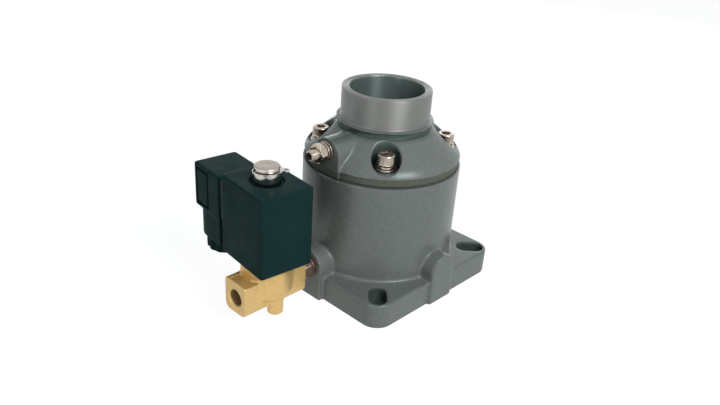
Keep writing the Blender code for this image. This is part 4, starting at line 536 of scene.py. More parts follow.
# %% Sizes of the body
body_low, body_high = box("valve_body")
cover_low, cover_high = box("cover")
FLANGE_HALF = body_high[0]
FLANGE_TOP = 15.5 * MM
FLANGE_CORNER = 11.0 * MM
BODY_TOP = body_high[2]
BODY_RADIUS = cover_high[0]
CHAMBER_RADIUS = BODY_RADIUS - 5.8 * MM
OUTLET_RADIUS, OUTLET_TOP = 32.0 * MM, 8.0 * MM
CHAMBER_FLOOR = 18.0 * MM
PORT_HEIGHT = middle("hex_nipple")[2]
PORT_FACE = body_low[0]
BLIND_FACE = body_low[1]
BOSS_HALF = 10.2 * MM
HUB_RADIUS = 16.5 * MM
HUB_TOP = 52.0 * MM
SEAT_RADIUS, SEAT_FOOT, SEAT_TOP = 23.0 * MM, 27.0 * MM, 30.0 * MM
SERVO_RADIUS = 12.1 * MM
SERVO_FLOOR = 14.0 * MM
RIB_HALF, RIB_REACH, RIB_FOOT = 4.5 * MM, 45.0 * MM, 3.0 * MM
RING_RADIUS = 36.1 * MM
SLOT_CENTRE = 62.5 * MM / math.sqrt(2)
SLOT_HALF_WIDTH = 5.25 * MM
SLOT_RUN = 3.5 * MM
SCREW_PLACES = [middle(f"cover_screw_{number}")[:2] for number in (1, 2, 3, 4)]
SCREW_RADIUS, SCREW_HOLE_FLOOR = 3.0 * MM, 64.0 * MM
BOSS_START, BOSS_FULL = 45.5 * MM, 49.5 * MM
THREAD_RADIUS, PORT_FLOOR = 4.9 * MM, -44.3 * MM


def arch(across, height, centre, half):
    """Boss outline with straight sides and a round top."""
    return np.hypot(across, np.maximum(height - centre, 0.0)) - half


def rounded_square(x, y, half, corner):
    """Distance to a square with round corners."""
    over_x, over_y = np.abs(x) - half + corner, np.abs(y) - half + corner
    outside = np.hypot(np.maximum(over_x, 0), np.maximum(over_y, 0))
    return outside + np.minimum(np.maximum(over_x, over_y), 0) - corner


def at_screws(x, y, radius):
    """Distance to four upright cylinders at the cover's screws."""
    reach = np.full(np.broadcast(x, y).shape, 1.0)
    for px, py in SCREW_PLACES:
        reach = np.minimum(reach, np.hypot(x - px, y - py))
    return reach - radius


def slotted(x, y):
    """Distance to the four slots, which run towards the corners of the flange."""
    slot_x, slot_y = np.abs(x) - SLOT_CENTRE, np.abs(y) - SLOT_CENTRE
    run, side = (slot_x + slot_y) / math.sqrt(2), (slot_x - slot_y) / math.sqrt(2)
    return np.hypot(np.maximum(np.abs(run) - SLOT_RUN, 0), side) - SLOT_HALF_WIDTH


# %% Field and mesh of the body
def body_field(x, y, z):
    """The body: flange, wall and bosses joined, the chamber cut out, the servo cylinder joined."""
    r = np.hypot(x, y)
    flange = keep(rounded_square(x, y, FLANGE_HALF, FLANGE_CORNER), z - FLANGE_TOP, 1.3 * MM)
    solid = join(flange, keep(r - BODY_RADIUS, z - BODY_TOP, 0.4 * MM), 2.4 * MM)
    port_boss = keep(arch(y, z, PORT_HEIGHT, BOSS_HALF), slab(x, PORT_FACE, -30 * MM), 0.9 * MM)
    blind_boss = keep(arch(x, z, PORT_HEIGHT, BOSS_HALF), slab(y, BLIND_FACE, -30 * MM), 1.3 * MM)
    solid = join(solid, join(port_boss, blind_boss, 1.0 * MM), 1.3 * MM)

    wall = np.interp(z, [OUTLET_TOP, CHAMBER_FLOOR], [OUTLET_RADIUS, CHAMBER_RADIUS])
    screw_radius = np.interp(z, [BOSS_START, BOSS_FULL], [1.5 * MM, 6.5 * MM])
    screw_boss = keep(at_screws(x, y, 0.0) - screw_radius, 45.8 * MM - z, 1.0 * MM)
    # The wall leans below the chamber, where straight across is further than the distance to it.
    hollow = cut((r - wall) * 0.8, screw_boss, 2.0 * MM)
    solid = cut(solid, hollow, 0.7 * MM)

    hub = keep(r - HUB_RADIUS, z - HUB_TOP, 1.2 * MM)
    seat = keep(r - SEAT_RADIUS, slab(z, SEAT_FOOT, SEAT_TOP), 0.7 * MM)
    ribs = join(keep(np.abs(y) - RIB_HALF, np.abs(x) - RIB_REACH, MM),
                keep(np.abs(x) - RIB_HALF, np.abs(y) - RIB_REACH, MM), 2.0 * MM)
    ribs = keep(ribs, slab(z, RIB_FOOT, SEAT_TOP - 0.2 * MM), 1.5 * MM)
    solid = join(solid, join(join(hub, seat, 1.2 * MM), ribs, 1.6 * MM), 1.6 * MM)
    solid = keep(solid, -z, 0.8 * MM)

    solid = cut(solid, keep(r - SERVO_RADIUS, SERVO_FLOOR - z, 0.5 * MM), 0.5 * MM)
    solid = cut(solid, slotted(x, y), 0.8 * MM)
    groove = keep(np.abs(r - RING_RADIUS) - 1.5 * MM, z - 3.0 * MM, 0.3 * MM)
    solid = cut(solid, groove, 0.3 * MM)
    solid = cut(solid, keep(at_screws(x, y, SCREW_RADIUS), SCREW_HOLE_FLOOR - z, 0.3 * MM), 0.3 * MM)
    port = keep(np.hypot(y, z - PORT_HEIGHT) - THREAD_RADIUS, x - PORT_FLOOR, 0.5 * MM)
    return cut(solid, port, 0.5 * MM)


# Higher up the wall outside is plain, so the levels lie further apart there.
BODY_CELL, PLAIN_CELL = 0.9 * MM, 2.5 * MM
side_levels = levels((-60 * MM, 57 * MM, BODY_CELL))
height_levels = levels((-1.2 * MM, 36 * MM, BODY_CELL), (37 * MM, 74 * MM, PLAIN_CELL),
                       (74.4 * MM, 78 * MM, BODY_CELL))
body = piece("body_casting", [skin(body_field, side_levels, side_levels, height_levels)], CAST,
             "valve_body")
# Painted shade in the slots, growing down their walls below the flange's top.
store_painted_shade(body, lambda x, y, z: (np.clip(1 - slotted(x, y) / (0.8 * MM), 0, 1)
                                * np.clip(0.3 + (FLANGE_TOP - z) / (3 * MM), 0, 1)))

# %% [markdown]
# ## The cover casting
#
# The cover is a cone on a short rim, with a collar and the pipe neck above it. Each screw sits
# in a round pocket that is sunk straight down into the slope, so the pocket's mouth is an arch
# when it is seen from the side. A boss with a flat end holds the bleed screw. Where the cone
# meets the collar there is a narrow groove; painted shade in it and below it makes a dark line
# round the cover.

# %% Sizes of the cover
COVER_BASE, NECK_TOP = cover_low[2], cover_high[2]
BAND_TOP = COVER_BASE + 4.0 * MM
BAND_RADIUS = BODY_RADIUS - 1.2 * MM
SHOULDER = COVER_BASE + 5.8 * MM
COLLAR_RADIUS, COLLAR_BASE, COLLAR_TOP = 29.5 * MM, COVER_BASE + 21.6 * MM, COVER_BASE + 25.2 * MM
GROOVE_RADIUS = COLLAR_RADIUS - 1.3 * MM
NECK_RADIUS, NECK_BORE = 27.0 * MM, 22.4 * MM
VALVE_SEAT = COVER_BASE + 10.3 * MM
SEAT_LAND = NECK_BORE + 4.1 * MM
POCKET_RADIUS, POCKET_FLOOR = 8.4 * MM, COVER_BASE + 6.8 * MM
BLEED_CENTRE = COVER_BASE + 11.8 * MM
BLEED_HALF = 10.0 * MM
BLEED_AXIS = middle("bleed_screw")[2]
BLEED_FACE = -47.5 * MM
BLEED_PASSAGE = 1.5 * MM
HOLE_RADIUS, HOLE_TOP = 3.3 * MM, 88.0 * MM
SCREW_BOSS_RADIUS = 10.6 * MM
COVER_WALL = 4.8 * MM
run, fall = BODY_RADIUS - COLLAR_RADIUS, COLLAR_BASE - SHOULDER
CONE_ACROSS, CONE_UP = fall / math.hypot(run, fall), run / math.hypot(run, fall)


def slope(r, z):
    """Distance to the cone that runs from the shoulder up to the foot of the collar."""
    return (r - COLLAR_RADIUS) * CONE_ACROSS + (z - COLLAR_BASE) * CONE_UP


# %% Field and mesh of the cover
def cover_field(x, y, z):
    """The cover: rim, cone, collar and neck joined with the bleed boss, then the pockets, the
    hollow with its seat lip, and the bore are cut."""
    r = np.hypot(x, y)
    cone = slope(r, z)
    skirt = keep(keep(r - BODY_RADIUS, cone, 4.2 * MM), BAND_TOP - z, 0.6 * MM)
    collar = keep(r - COLLAR_RADIUS, slab(z, BAND_TOP, COLLAR_TOP), 0.7 * MM)
    groove = keep(GROOVE_RADIUS - r, slab(z, COLLAR_BASE - 0.6 * MM, COLLAR_TOP - 1.0 * MM), 0.4 * MM)
    neck = keep(r - NECK_RADIUS, slab(z, BAND_TOP, NECK_TOP), 0.7 * MM)
    solid = cut(join(skirt, join(collar, neck, 0.7 * MM), 0.8 * MM), groove, 0.6 * MM)
    boss = keep(arch(y, z, BLEED_CENTRE, BLEED_HALF), slab(x, -52 * MM, -30 * MM), 0.8 * MM)
    boss = keep(boss, COVER_BASE - z, 0.4 * MM)
    solid = join(solid, boss, 1.3 * MM)
    face = keep(x - BLEED_FACE, np.abs(y) - 11 * MM, 0.3 * MM)
    solid = cut(solid, face, 0.5 * MM)
    pocket = keep(at_screws(x, y, POCKET_RADIUS), POCKET_FLOOR - z, 1.0 * MM)
    solid = cut(solid, pocket, 1.2 * MM)

    hollow = keep(r - CHAMBER_RADIUS, cone + COVER_WALL, 1.5 * MM)
    lip = keep(r - SEAT_LAND, VALVE_SEAT - z, 0.4 * MM)
    hollow = cut(keep(hollow, z - VALVE_SEAT - 5 * MM, 0.8 * MM), lip, 0.6 * MM)
    screw_boss = keep(at_screws(x, y, SCREW_BOSS_RADIUS), r - BAND_RADIUS + 0.4 * MM, 0.5 * MM)
    solid = join(solid, keep(screw_boss, slab(z, COVER_BASE, POCKET_FLOOR - MM), 0.3 * MM), 0.5 * MM)
    hollow = cut(hollow, at_screws(x, y, SCREW_BOSS_RADIUS), 1.2 * MM)
    solid = cut(solid, hollow, 0.6 * MM)
    solid = cut(solid, r - NECK_BORE, 0.8 * MM)
    solid = cut(solid, keep(at_screws(x, y, HOLE_RADIUS), z - HOLE_TOP, 0.3 * MM), 0.3 * MM)
    bleed = np.hypot(y, z - BLEED_AXIS)
    solid = cut(solid, keep(bleed - HOLE_RADIUS, x + SEAT_LAND + 0.3 * MM, 0.3 * MM), 0.4 * MM)
    return cut(solid, keep(bleed - BLEED_PASSAGE, x + NECK_BORE - MM, 0.3 * MM), 0.2 * MM)


COVER_CELL = 0.62 * MM
side_levels = levels((-50.5 * MM, 50.5 * MM, COVER_CELL))
height_levels = levels((COVER_BASE - 1.2 * MM, NECK_TOP + 1.3 * MM, COVER_CELL))
cover_shells = [skin(cover_field, side_levels, side_levels, height_levels)]

# %% [markdown]
# ## Turned shapes
#
# Turned shapes need no field. Their surface is a section carried round an axis: the point at
# (radius, height) goes to radius times the cosine and sine of the angle. Real turned parts have
# no knife edges, so each corner of the section is first replaced by a small arc.

# %% Turned surfaces
def eased(corners, radius, steps=4):
    """Closed outline whose corners are arcs: from each corner the curve starts and ends one
    tangent length away, and a quadratic blend runs between those two points."""
    corners = np.array(corners, float)
    before, after = np.roll(corners, 1, 0) - corners, np.roll(corners, -1, 0) - corners
    span_before = np.linalg.norm(before, axis=1, keepdims=True)
    span_after = np.linalg.norm(after, axis=1, keepdims=True)
    radius = np.broadcast_to(radius, len(corners))[:, None]
    reach = np.minimum(radius, 0.45 * np.minimum(span_before, span_after))
    start = corners + before / span_before * reach
    stop = corners + after / span_after * reach
    t = np.linspace(0, 1, steps + 1)[None, :, None]
    arcs = (1 - t) ** 2 * start[:, None] + 2 * t * (1 - t) * corners[:, None] + t ** 2 * stop[:, None]
    return arcs.reshape(-1, 2)


UPRIGHT = np.eye(3)
ALONG_X = np.array([(0, 1, 0), (0, 0, 1), (1, 0, 0)], float)


def around(radii, heights, centre, frame_rows=UPRIGHT, start=0.0):
    """Closed surface from rows of radii round an axis; each row may change with the angle."""
    radii = np.atleast_2d(radii)
    angles = start + np.linspace(0, 2 * np.pi, radii.shape[1], endpoint=False)
    heights = np.broadcast_to(np.reshape(heights, (len(radii), -1)), radii.shape)
    local = np.stack([radii * np.cos(angles), radii * np.sin(angles), heights], -1)
    return local @ frame_rows + centre, grid_faces(*radii.shape, True, True)


def turned(outline, centre, frame_rows=UPRIGHT, steps=96):
    """Section carried round an axis."""
    return around(np.repeat(outline[:, :1], steps, 1), outline[:, 1], centre, frame_rows)


def section(inner, outer, low, high, edge=0.15 * MM):
    """Rectangular ring section with eased corners."""
    return eased([(inner, low), (outer, low), (outer, high), (inner, high)], edge)


def ring(name, node, finish_used, inner, outer, edge=0.15 * MM, centre=(0, 0, 0), axis=2):
    """Ring as a piece of its own, between its node's two ends along x (axis 0) or z (axis 2)."""
    low, high = box(node)
    outline = section(inner, outer, low[axis], high[axis], edge)
    piece(name, [turned(outline, centre, UPRIGHT if axis == 2 else ALONG_X)], finish_used, node)


# %% [markdown]
# ## The cover's band and its finishes
#
# The foot of the cover is a low band, set back a little under the lip. Its finish is rougher, and
# its darker colour is painted shade. It is a turned ring that reaches a short way into the cover
# above it. The neck was turned and its inside was bored, so both are smoother than the cone, and
# the bore's greener colour is painted shade inside the neck. A test of where a face lies picks
# each finish, which keeps the edge between two finishes on the real edge of the shape. The pockets
# and the groove have no such edge, so their painted shade comes in gently with depth.

# %% The cover and its finishes
cover_shells.append(turned(section(CHAMBER_RADIUS, BAND_RADIUS, COVER_BASE, BAND_TOP + MM), (0, 0, 0),
                           steps=160))
cover = piece("cover_casting", cover_shells, CAST, "cover")

second_finish(cover, TURNED, lambda x, y, z: z > COLLAR_TOP + 0.1 * MM)
# The bore gets its bored finish, tinted greener as painted shade.
second_finish(cover, BORED_AND_SHADED, lambda x, y, z: (z > VALVE_SEAT) & (np.hypot(x, y) < NECK_BORE + 0.3 * MM))
# The band under the lip gets its darker colour of painted shade.
second_finish(cover, CAST_BAND_SHADE, lambda x, y, z: ((z < BAND_TOP + 0.1 * MM)
                                                & (np.hypot(x, y) > CHAMBER_RADIUS + MM)))


# %% Painted shade in the recesses of the cover
def cover_painted_shade(x, y, z):
    """Painted shade: depth below the slope in the pockets, the groove under the collar, and a painted shadow
    strip below it.
    """
    r = np.hypot(x, y)
    pocket = np.clip(1 - at_screws(x, y, POCKET_RADIUS) / (1.4 * MM), 0, 1)
    pocket *= np.clip(0.3 - slope(r, z) / (4 * MM), 0, 1)
    groove = np.clip((COLLAR_RADIUS - 0.2 * MM - r) / (0.6 * MM), 0, 1) * (z < COLLAR_TOP - 0.8 * MM)
    groove *= z > COLLAR_BASE - 1.2 * MM
    # A strip of painted shadow below the collar.
    shadow_below_collar = 0.6 * np.clip(1 - (COLLAR_BASE - 0.4 * MM - z) / (2.5 * MM), 0, 1) * (z < COLLAR_BASE)
    return np.maximum(pocket, np.maximum(groove, shadow_below_collar) * (r > NECK_RADIUS))


# Painted shade in the cover's pockets and groove, and below the collar.
store_painted_shade(cover, cover_painted_shade)

# %% [markdown]
# ## Screws, washers and nuts
#
# A hexagon seen from its centre has a distance that grows from the middle of each flat to the
# corner, as one over the cosine. Rows that follow that rule make sockets and nuts, rows of
# constant radius make the round parts, and the smaller of the two makes a nut's rounded ends.

# %% Rows of radii
ANGLES = np.linspace(0, 2 * np.pi, 144, endpoint=False)


def round_row(radius):
    """Same radius all round."""
    return np.full(len(ANGLES), radius)


def hex_row(flats):
    """Distance from the centre to a hexagon of that width across flats."""
    return flats / 2 / np.cos((ANGLES + np.pi / 6) % (np.pi / 3) - np.pi / 6)


def nut_rows(flats, bore, low, high):
    """Rows of a nut: bore, lower face, rounded lower end, flats, rounded upper end, upper face.
    An end starts just inside the flats and widens 1.6 times as fast as it gets deeper."""
    depth = np.array([0.0, 0.12, 0.25, 0.4, 0.6, 0.85]) * MM
    ends = flats / 2 * 0.97 + depth * 1.6
    lower = [np.minimum(hex_row(flats), round_row(r)) for r in ends]
    rows = [round_row(bore + 0.3 * MM), *lower, *lower[::-1], round_row(bore + 0.3 * MM),
            round_row(bore), round_row(bore)]
    heights = [low, *(low + depth), *(high - depth[::-1]), high, high - 0.3 * MM, low + 0.3 * MM]
    return np.array(rows), np.array(heights)


RIDGES, RIDGE_DEPTH = 36, 0.10 * MM


def socket_screw_rows(radius, tip, seat, top, head, flats, depth):
    """Rows of a socket head screw from its tip to the floor of its socket. The head's side is
    knurled: its radius drops between upright ridges, as one minus the cosine of the angle."""
    rows = [(0.0, tip), (radius - 0.5 * MM, tip), (radius, tip + 0.5 * MM), (radius, seat),
            (head - 0.3 * MM, seat), (head, seat + 0.3 * MM), (head, seat + 0.5 * MM),
            (head, top - 0.7 * MM), (head, top - 0.5 * MM), (head - 0.12 * MM, top - 0.25 * MM),
            (head - 0.4 * MM, top - 0.08 * MM), (head - 0.8 * MM, top), (flats * 0.66, top)]
    radii = [round_row(r) for r, _ in rows]
    knurl = RIDGE_DEPTH * (1 - np.cos(RIDGES * ANGLES))
    radii[6:8] = [radii[6] - knurl, radii[7] - knurl]
    heights = [z for _, z in rows]
    floor_level = top - depth
    radii += [hex_row(flats), hex_row(flats), hex_row(flats) * 0.95, round_row(0.0)]
    heights += [top - 0.35 * MM, floor_level, floor_level - 0.1 * MM, floor_level - 0.9 * MM]
    return np.array(radii), np.array(heights)


# %% Screws and washers of the cover
WASHER_BORE, WASHER_RADIUS = 3.3 * MM, 6.0 * MM
SPLIT_RADIUS, SPLIT_GAP, SPLIT_RISE = 5.4 * MM, 1.2 * MM, 0.12 * MM
SPLIT_STEPS = 64


def split_ring(low, high, turn):
    """Split washer: a square section carried round almost a full turn, rising a little."""
    half_gap = SPLIT_GAP / SPLIT_RADIUS / 2
    angles = turn + np.linspace(half_gap, 2 * np.pi - half_gap, SPLIT_STEPS)
    outline = section(WASHER_BORE, SPLIT_RADIUS, low + SPLIT_RISE / 2, high - SPLIT_RISE / 2, 0.12 * MM)
    sides = len(outline)
    rise = np.linspace(-0.5, 0.5, SPLIT_STEPS)[:, None] * SPLIT_RISE
    radii, heights = outline[None, :, 0], outline[None, :, 1] + rise
    points = np.stack([radii * np.cos(angles)[:, None], radii * np.sin(angles)[:, None],
                       np.broadcast_to(heights, (SPLIT_STEPS, sides))], -1)
    last = (SPLIT_STEPS - 1) * sides
    ends = [list(range(sides)), list(range(last, last + sides))[::-1]]
    return points, grid_faces(SPLIT_STEPS, sides, False, True) + ends


HEAD_HEIGHT, HEAD_RADIUS, HEAD_FLATS, SOCKET_DEPTH = 6.0 * MM, 5.0 * MM, 5.0 * MM, 3.2 * MM
for number, (px, py) in enumerate(SCREW_PLACES, 1):
    low, high = box(f"cover_screw_{number}")
    rows, heights = socket_screw_rows(SCREW_RADIUS, low[2], high[2] - HEAD_HEIGHT, high[2], HEAD_RADIUS,
                                      HEAD_FLATS, SOCKET_DEPTH)
    piece(f"cap_screw_{number}", [around(rows, heights, (px, py, 0), start=0.4 * number)], STEEL,
          f"cover_screw_{number}")
    low, high = box(f"spring_washer_{number}")
    points, faces = split_ring(low[2], high[2], 0.7 * number)
    piece(f"split_washer_{number}", [(points + np.array((px, py, 0)), faces)], STEEL,
          f"spring_washer_{number}")
    ring(f"washer_{number}", f"flat_washer_{number}", STEEL, WASHER_BORE, WASHER_RADIUS,
         centre=(px, py, 0))

# %% [markdown]
# ## The bleed screw
#
# A small headless screw with a cone tip meters a little air past the closed valve. Its thread is
# a ridge that climbs as it goes round: the radius depends on the height over the pitch minus the
# angle over a full turn, folded into a zigzag. A lock nut and two washers hold its setting.

# %% Bleed screw, nut and washers
bleed_low, bleed_high = box("bleed_screw")
bleed_centre = np.array((0, 0, BLEED_AXIS))
BLEED_PITCH, BLEED_DEPTH, BLEED_STEP = 1.0 * MM, 0.45 * MM, 0.125 * MM


def zigzag(turns):
    """Zero at whole turns and one half way between them."""
    return 1 - np.abs(2 * (turns % 1.0) - 1)


def threaded(outer, depth, pitch, heights):
    """Rows of radii with one ridge that climbs one pitch in each turn."""
    return outer - depth * zigzag(heights[:, None] / pitch - ANGLES[None] / (2 * np.pi))


tip, end = -bleed_high[0], -bleed_low[0]
thread_levels = np.arange(tip + 3.2 * MM, end - 0.5 * MM, BLEED_STEP)
rows = np.concatenate([[round_row(0.0), round_row(0.9 * MM), round_row(2.5 * MM)],
                       threaded(SCREW_RADIUS, BLEED_DEPTH, BLEED_PITCH, thread_levels),
                       [round_row(2.6 * MM), round_row(2.3 * MM), hex_row(3.0 * MM), hex_row(3.0 * MM),
                        round_row(0.0)]])
heights = np.concatenate([[tip, tip, tip + 3.0 * MM], thread_levels,
                          [end - 0.3 * MM, end, end - 0.05 * MM, end - 4.0 * MM, end - 4.5 * MM]])
piece("bleed_stud", [around(rows, -heights, bleed_centre, ALONG_X)], STEEL, "bleed_screw")
low, high = box("bleed_lock_nut")
rows, heights = nut_rows(10.0 * MM, 3.1 * MM, low[0], high[0])
piece("lock_nut", [around(rows, heights, bleed_centre, ALONG_X, start=np.pi / 2)], STEEL, "bleed_lock_nut")
low, high = box("bleed_spring_washer")
points, faces = split_ring(low[0], high[0], 1.2)
piece("bleed_split_washer", [(points @ ALONG_X + bleed_centre, faces)], STEEL, "bleed_spring_washer")
ring("bleed_washer", "bleed_flat_washer", STEEL, WASHER_BORE, WASHER_RADIUS, centre=bleed_centre, axis=0)

# %% [markdown]
# ## Inside the neck
#
# Looking down the neck, one sees the valve plate with its rubber seal, and the nut that holds
# the plate on the piston's rod. They move together, 12 mm down, so they ride on the valve.

# %% Valve plate, seal and nut
low, high = box("valve_plate")
PLATE_RADIUS, PLATE_TOP, PLATE_FOOT = high[0], high[2], low[2]
seal_low, seal_high = box("plate_seal")
LAND = PLATE_RADIUS - 6.6 * MM
ROD_BORE = 4.3 * MM
plate_outline = eased([
    (ROD_BORE, PLATE_FOOT), (9.0 * MM, PLATE_FOOT), (9.0 * MM, PLATE_FOOT + 8.4 * MM),
    (16.4 * MM, seal_low[2] - 3.8 * MM), (PLATE_RADIUS, seal_low[2] - 3.8 * MM),
    (PLATE_RADIUS, seal_low[2] - 0.3 * MM), (LAND, seal_low[2] - 0.3 * MM),
    (LAND, seal_high[2] - 0.8 * MM), (10.0 * MM, PLATE_TOP), (ROD_BORE, PLATE_TOP)], 0.5 * MM)
piece("plate", [turned(plate_outline, (0, 0, 0))], BARE, "valve_plate")
ring("plate_ring", "plate_seal", RUBBER, LAND + 0.3 * MM, seal_high[0], 0.3 * MM)
low, high = box("plate_nut")
rows, heights = nut_rows(13.0 * MM, 4.2 * MM, low[2], high[2])
piece("rod_nut", [around(rows, heights, (0, 0, 0))], STEEL, "plate_nut")
ring("rod_washer", "plate_washer", STEEL, ROD_BORE, box("plate_washer")[1][0])

# %% Piston and the O-ring of the flange
low, high = box("servo_piston")
ROD_SHOULDER = PLATE_FOOT - 0.3 * MM
PISTON_RADIUS, ROD_RADIUS, STUD_RADIUS = high[0], 6.5 * MM, 4.0 * MM
GROOVE_FLOOR = PISTON_RADIUS - 1.6 * MM
groove_low, groove_high, piston_top = low[2] + 3.3 * MM, low[2] + 5.7 * MM, low[2] + 9 * MM
piston_outline = eased([
    (0.0, low[2]), (PISTON_RADIUS, low[2]), (PISTON_RADIUS, groove_low), (GROOVE_FLOOR, groove_low),
    (GROOVE_FLOOR, groove_high), (PISTON_RADIUS, groove_high), (PISTON_RADIUS, piston_top),
    (ROD_RADIUS, piston_top), (ROD_RADIUS, ROD_SHOULDER), (STUD_RADIUS, ROD_SHOULDER),
    (STUD_RADIUS, high[2]), (0.0, high[2])], 0.3 * MM)
piece("piston", [turned(piston_outline, (0, 0, 0))], BARE, "servo_piston")
seal_radius = box("piston_seal")[1][0]
ring("piston_ring", "piston_seal", RUBBER, seal_radius - 1.3 * MM, seal_radius, 0.4 * MM)
RING_WIRE = 1.2 * MM
ring_height = middle("flange_seal")[2]
angle = np.linspace(0, 2 * np.pi, 16, endpoint=False)
ring_outline = np.stack([RING_RADIUS + RING_WIRE * np.cos(angle),
                         ring_height + RING_WIRE * np.sin(angle)], -1)
piece("flange_ring", [turned(ring_outline, (0, 0, 0), steps=128)], RUBBER, "flange_seal")

# %% [markdown]
# ## Springs
#
# A spring is a round section carried along a helix. Its first and last turn lie almost flat, so
# that it stands square, and the turns between share the height.

# %% A spring
WIRE_SIDES = 14


def spring(radius, wire, low, high, turns, steps=48):
    """Tube along a helix: the centre line, its outward direction and the axis give each ring."""
    turn = np.linspace(0, turns, turns * steps + 1)
    lap = 2 * wire + 0.3 * MM
    free = high - low - 2 * wire - 2 * lap
    rise = (np.minimum(turn, 1) + np.clip(turn - turns + 1, 0, 1)) * lap
    rise += np.clip((turn - 1) / (turns - 2), 0, 1) * free
    angle = 2 * np.pi * turn
    outward = np.stack([np.cos(angle), np.sin(angle), np.zeros(len(turn))], -1)
    path = outward * radius + np.stack([0 * turn, 0 * turn, low + wire + rise], -1)
    around_wire = np.linspace(0, 2 * np.pi, WIRE_SIDES, endpoint=False)[None, :, None]
    rings = path[:, None] + wire * (np.cos(around_wire) * outward[:, None]
                                    + np.sin(around_wire) * np.array((0, 0, 1.0)))
    last = (len(turn) - 1) * WIRE_SIDES
    ends = [list(range(WIRE_SIDES)), list(range(last, last + WIRE_SIDES))[::-1]]
    return rings, grid_faces(len(turn), WIRE_SIDES, False, True) + ends


def shortens(made):
    """Give a spring a mesh of its own."""
    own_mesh(made)


low, high = box("return_spring")
made = piece("main_spring", [spring(19.5 * MM, 1.1 * MM, low[2], high[2], 6)], STEEL, "return_spring")
shortens(made)
SOLENOID = np.array((middle("fixed_core")[0], 0.0, 0.0))
low, high = box("plunger_spring")
points, faces = spring(2.4 * MM, 0.35 * MM, low[2], high[2], 5, 32)
made = piece("core_spring", [(points + SOLENOID, faces)], STEEL, "plunger_spring")
shortens(made)

# %% [markdown]
# ## The brass valve
#
# The small valve body is a hot forging: two square port arms on a round barrel, with a narrower
# waist and two feet below. Forged corners are rounder than machined ones, and the same soft
# fields give them. Under the tube lies the pilot chamber, with a nozzle in its middle that the
# plunger closes. The port's thread is a thin turned skin inside the hole, and its brass is darker
# there as painted shade, because no light gets in.

# %% Field and mesh of the brass body
brass_low, brass_high = box("solenoid_body")
ARM_HALF = 9.0 * MM
ARM_TOP, ARM_FOOT = PORT_HEIGHT + 9.7 * MM, PORT_HEIGHT - 9.6 * MM
ARM_END = (brass_high[0] - brass_low[0]) / 2
BARREL_RADIUS = brass_high[1]
WAIST_FOOT = PORT_HEIGHT - 7.6 * MM
PILOT_RADIUS, PILOT_FLOOR = 6.3 * MM, PORT_HEIGHT + 1.7 * MM
NOZZLE_RADIUS, NOZZLE_TOP = 2.0 * MM, PORT_HEIGHT + 3.3 * MM
TUBE_SEAT, TUBE_SEAT_RADIUS = PORT_HEIGHT + 6.2 * MM, 9.5 * MM
FOOT_PLACE, FOOT_RADIUS = 8.0 * MM, 4.6 * MM
PANEL_PLACE, PANEL_HALF, PANEL_HALF_WIDTH = -17.4 * MM, 3.1 * MM, 6.2 * MM
PORT_END, PORT_PITCH, PORT_RIDGE = 12.0 * MM, 0.907 * MM, 0.42 * MM
# How far into the port the painted shade reaches.
PORT_SHADE_DEPTH = 12.0 * MM


def brass_field(x, y, z):
    """The forging: arms, barrel, waist and feet joined, then ports and tube seat cut."""
    x = x - SOLENOID[0]
    r = np.hypot(x, y)
    arm = keep(keep(np.abs(y) - ARM_HALF, ARM_FOOT - z, 4.5 * MM), z - ARM_TOP, 0.9 * MM)
    arm = keep(arm, np.abs(x) - ARM_END, 0.8 * MM)
    barrel = keep(r - BARREL_RADIUS, slab(z, PORT_HEIGHT - 2 * MM, brass_high[2]), 0.8 * MM)
    waist = keep(r - 11 * MM, slab(z, WAIST_FOOT, ARM_TOP), 1.2 * MM)
    foot = keep(np.hypot(x, np.abs(y) - FOOT_PLACE) - FOOT_RADIUS,
                slab(z, brass_low[2] + 1.3 * MM, ARM_TOP), 0.9 * MM)
    solid = join(join(barrel, arm, 1.2 * MM), join(waist, foot, 0.9 * MM), 1.0 * MM)
    panel = keep(np.abs(x - PANEL_PLACE) - PANEL_HALF, np.abs(y) - PANEL_HALF_WIDTH, 0.8 * MM)
    solid = cut(solid, keep(panel, ARM_TOP - 0.5 * MM - z, 0.3 * MM), 0.3 * MM)
    across = np.hypot(y, z - PORT_HEIGHT)
    chamfer = np.maximum(np.abs(x) - ARM_END + 0.9 * MM, 0)
    port = keep(across - THREAD_RADIUS - chamfer, PORT_END - np.abs(x), 0.5 * MM)
    solid = cut(solid, port, 0.3 * MM)
    chamber = keep(r - PILOT_RADIUS, PILOT_FLOOR - z, 0.4 * MM)
    nozzle = keep(r - NOZZLE_RADIUS, z - NOZZLE_TOP, 0.2 * MM)
    solid = cut(solid, cut(chamber, nozzle, 0.3 * MM), 0.3 * MM)
    return cut(solid, keep(r - TUBE_SEAT_RADIUS, TUBE_SEAT - z, 0.4 * MM), 0.4 * MM)


# %% The brass body and its port
BRASS_CELL = 0.4 * MM
brass_shells = [skin(brass_field, *box_levels(brass_low, brass_high, 1.5 * MM, BRASS_CELL))]
port_levels = np.arange(0.0, 9.0, 0.11) * MM
thread = threaded(THREAD_RADIUS - 0.02 * MM, PORT_RIDGE, PORT_PITCH, port_levels)
outside_rows = np.full_like(thread, THREAD_RADIUS + 0.3 * MM)
port_start = brass_low[0] + 1.2 * MM
brass_shells.append(around(np.concatenate([thread, outside_rows[::-1]]),
                           np.concatenate([port_levels, port_levels[::-1]]) + port_start,
                           (0, 0, PORT_HEIGHT), ALONG_X))
forged = piece("forged_body", brass_shells, BRASS, "solenoid_body")


def port_shade_faces(x, y, z):
    """Inside the open port, from just within its mouth, where the brass gets painted shade."""
    return ((np.hypot(y, z - PORT_HEIGHT) < THREAD_RADIUS + 0.2 * MM)
            & (x < port_start + PORT_SHADE_DEPTH) & (x > port_start - 0.3 * MM))


# Painted shade inside the open port.
second_finish(forged, BRASS_PORT_SHADE, port_shade_faces)

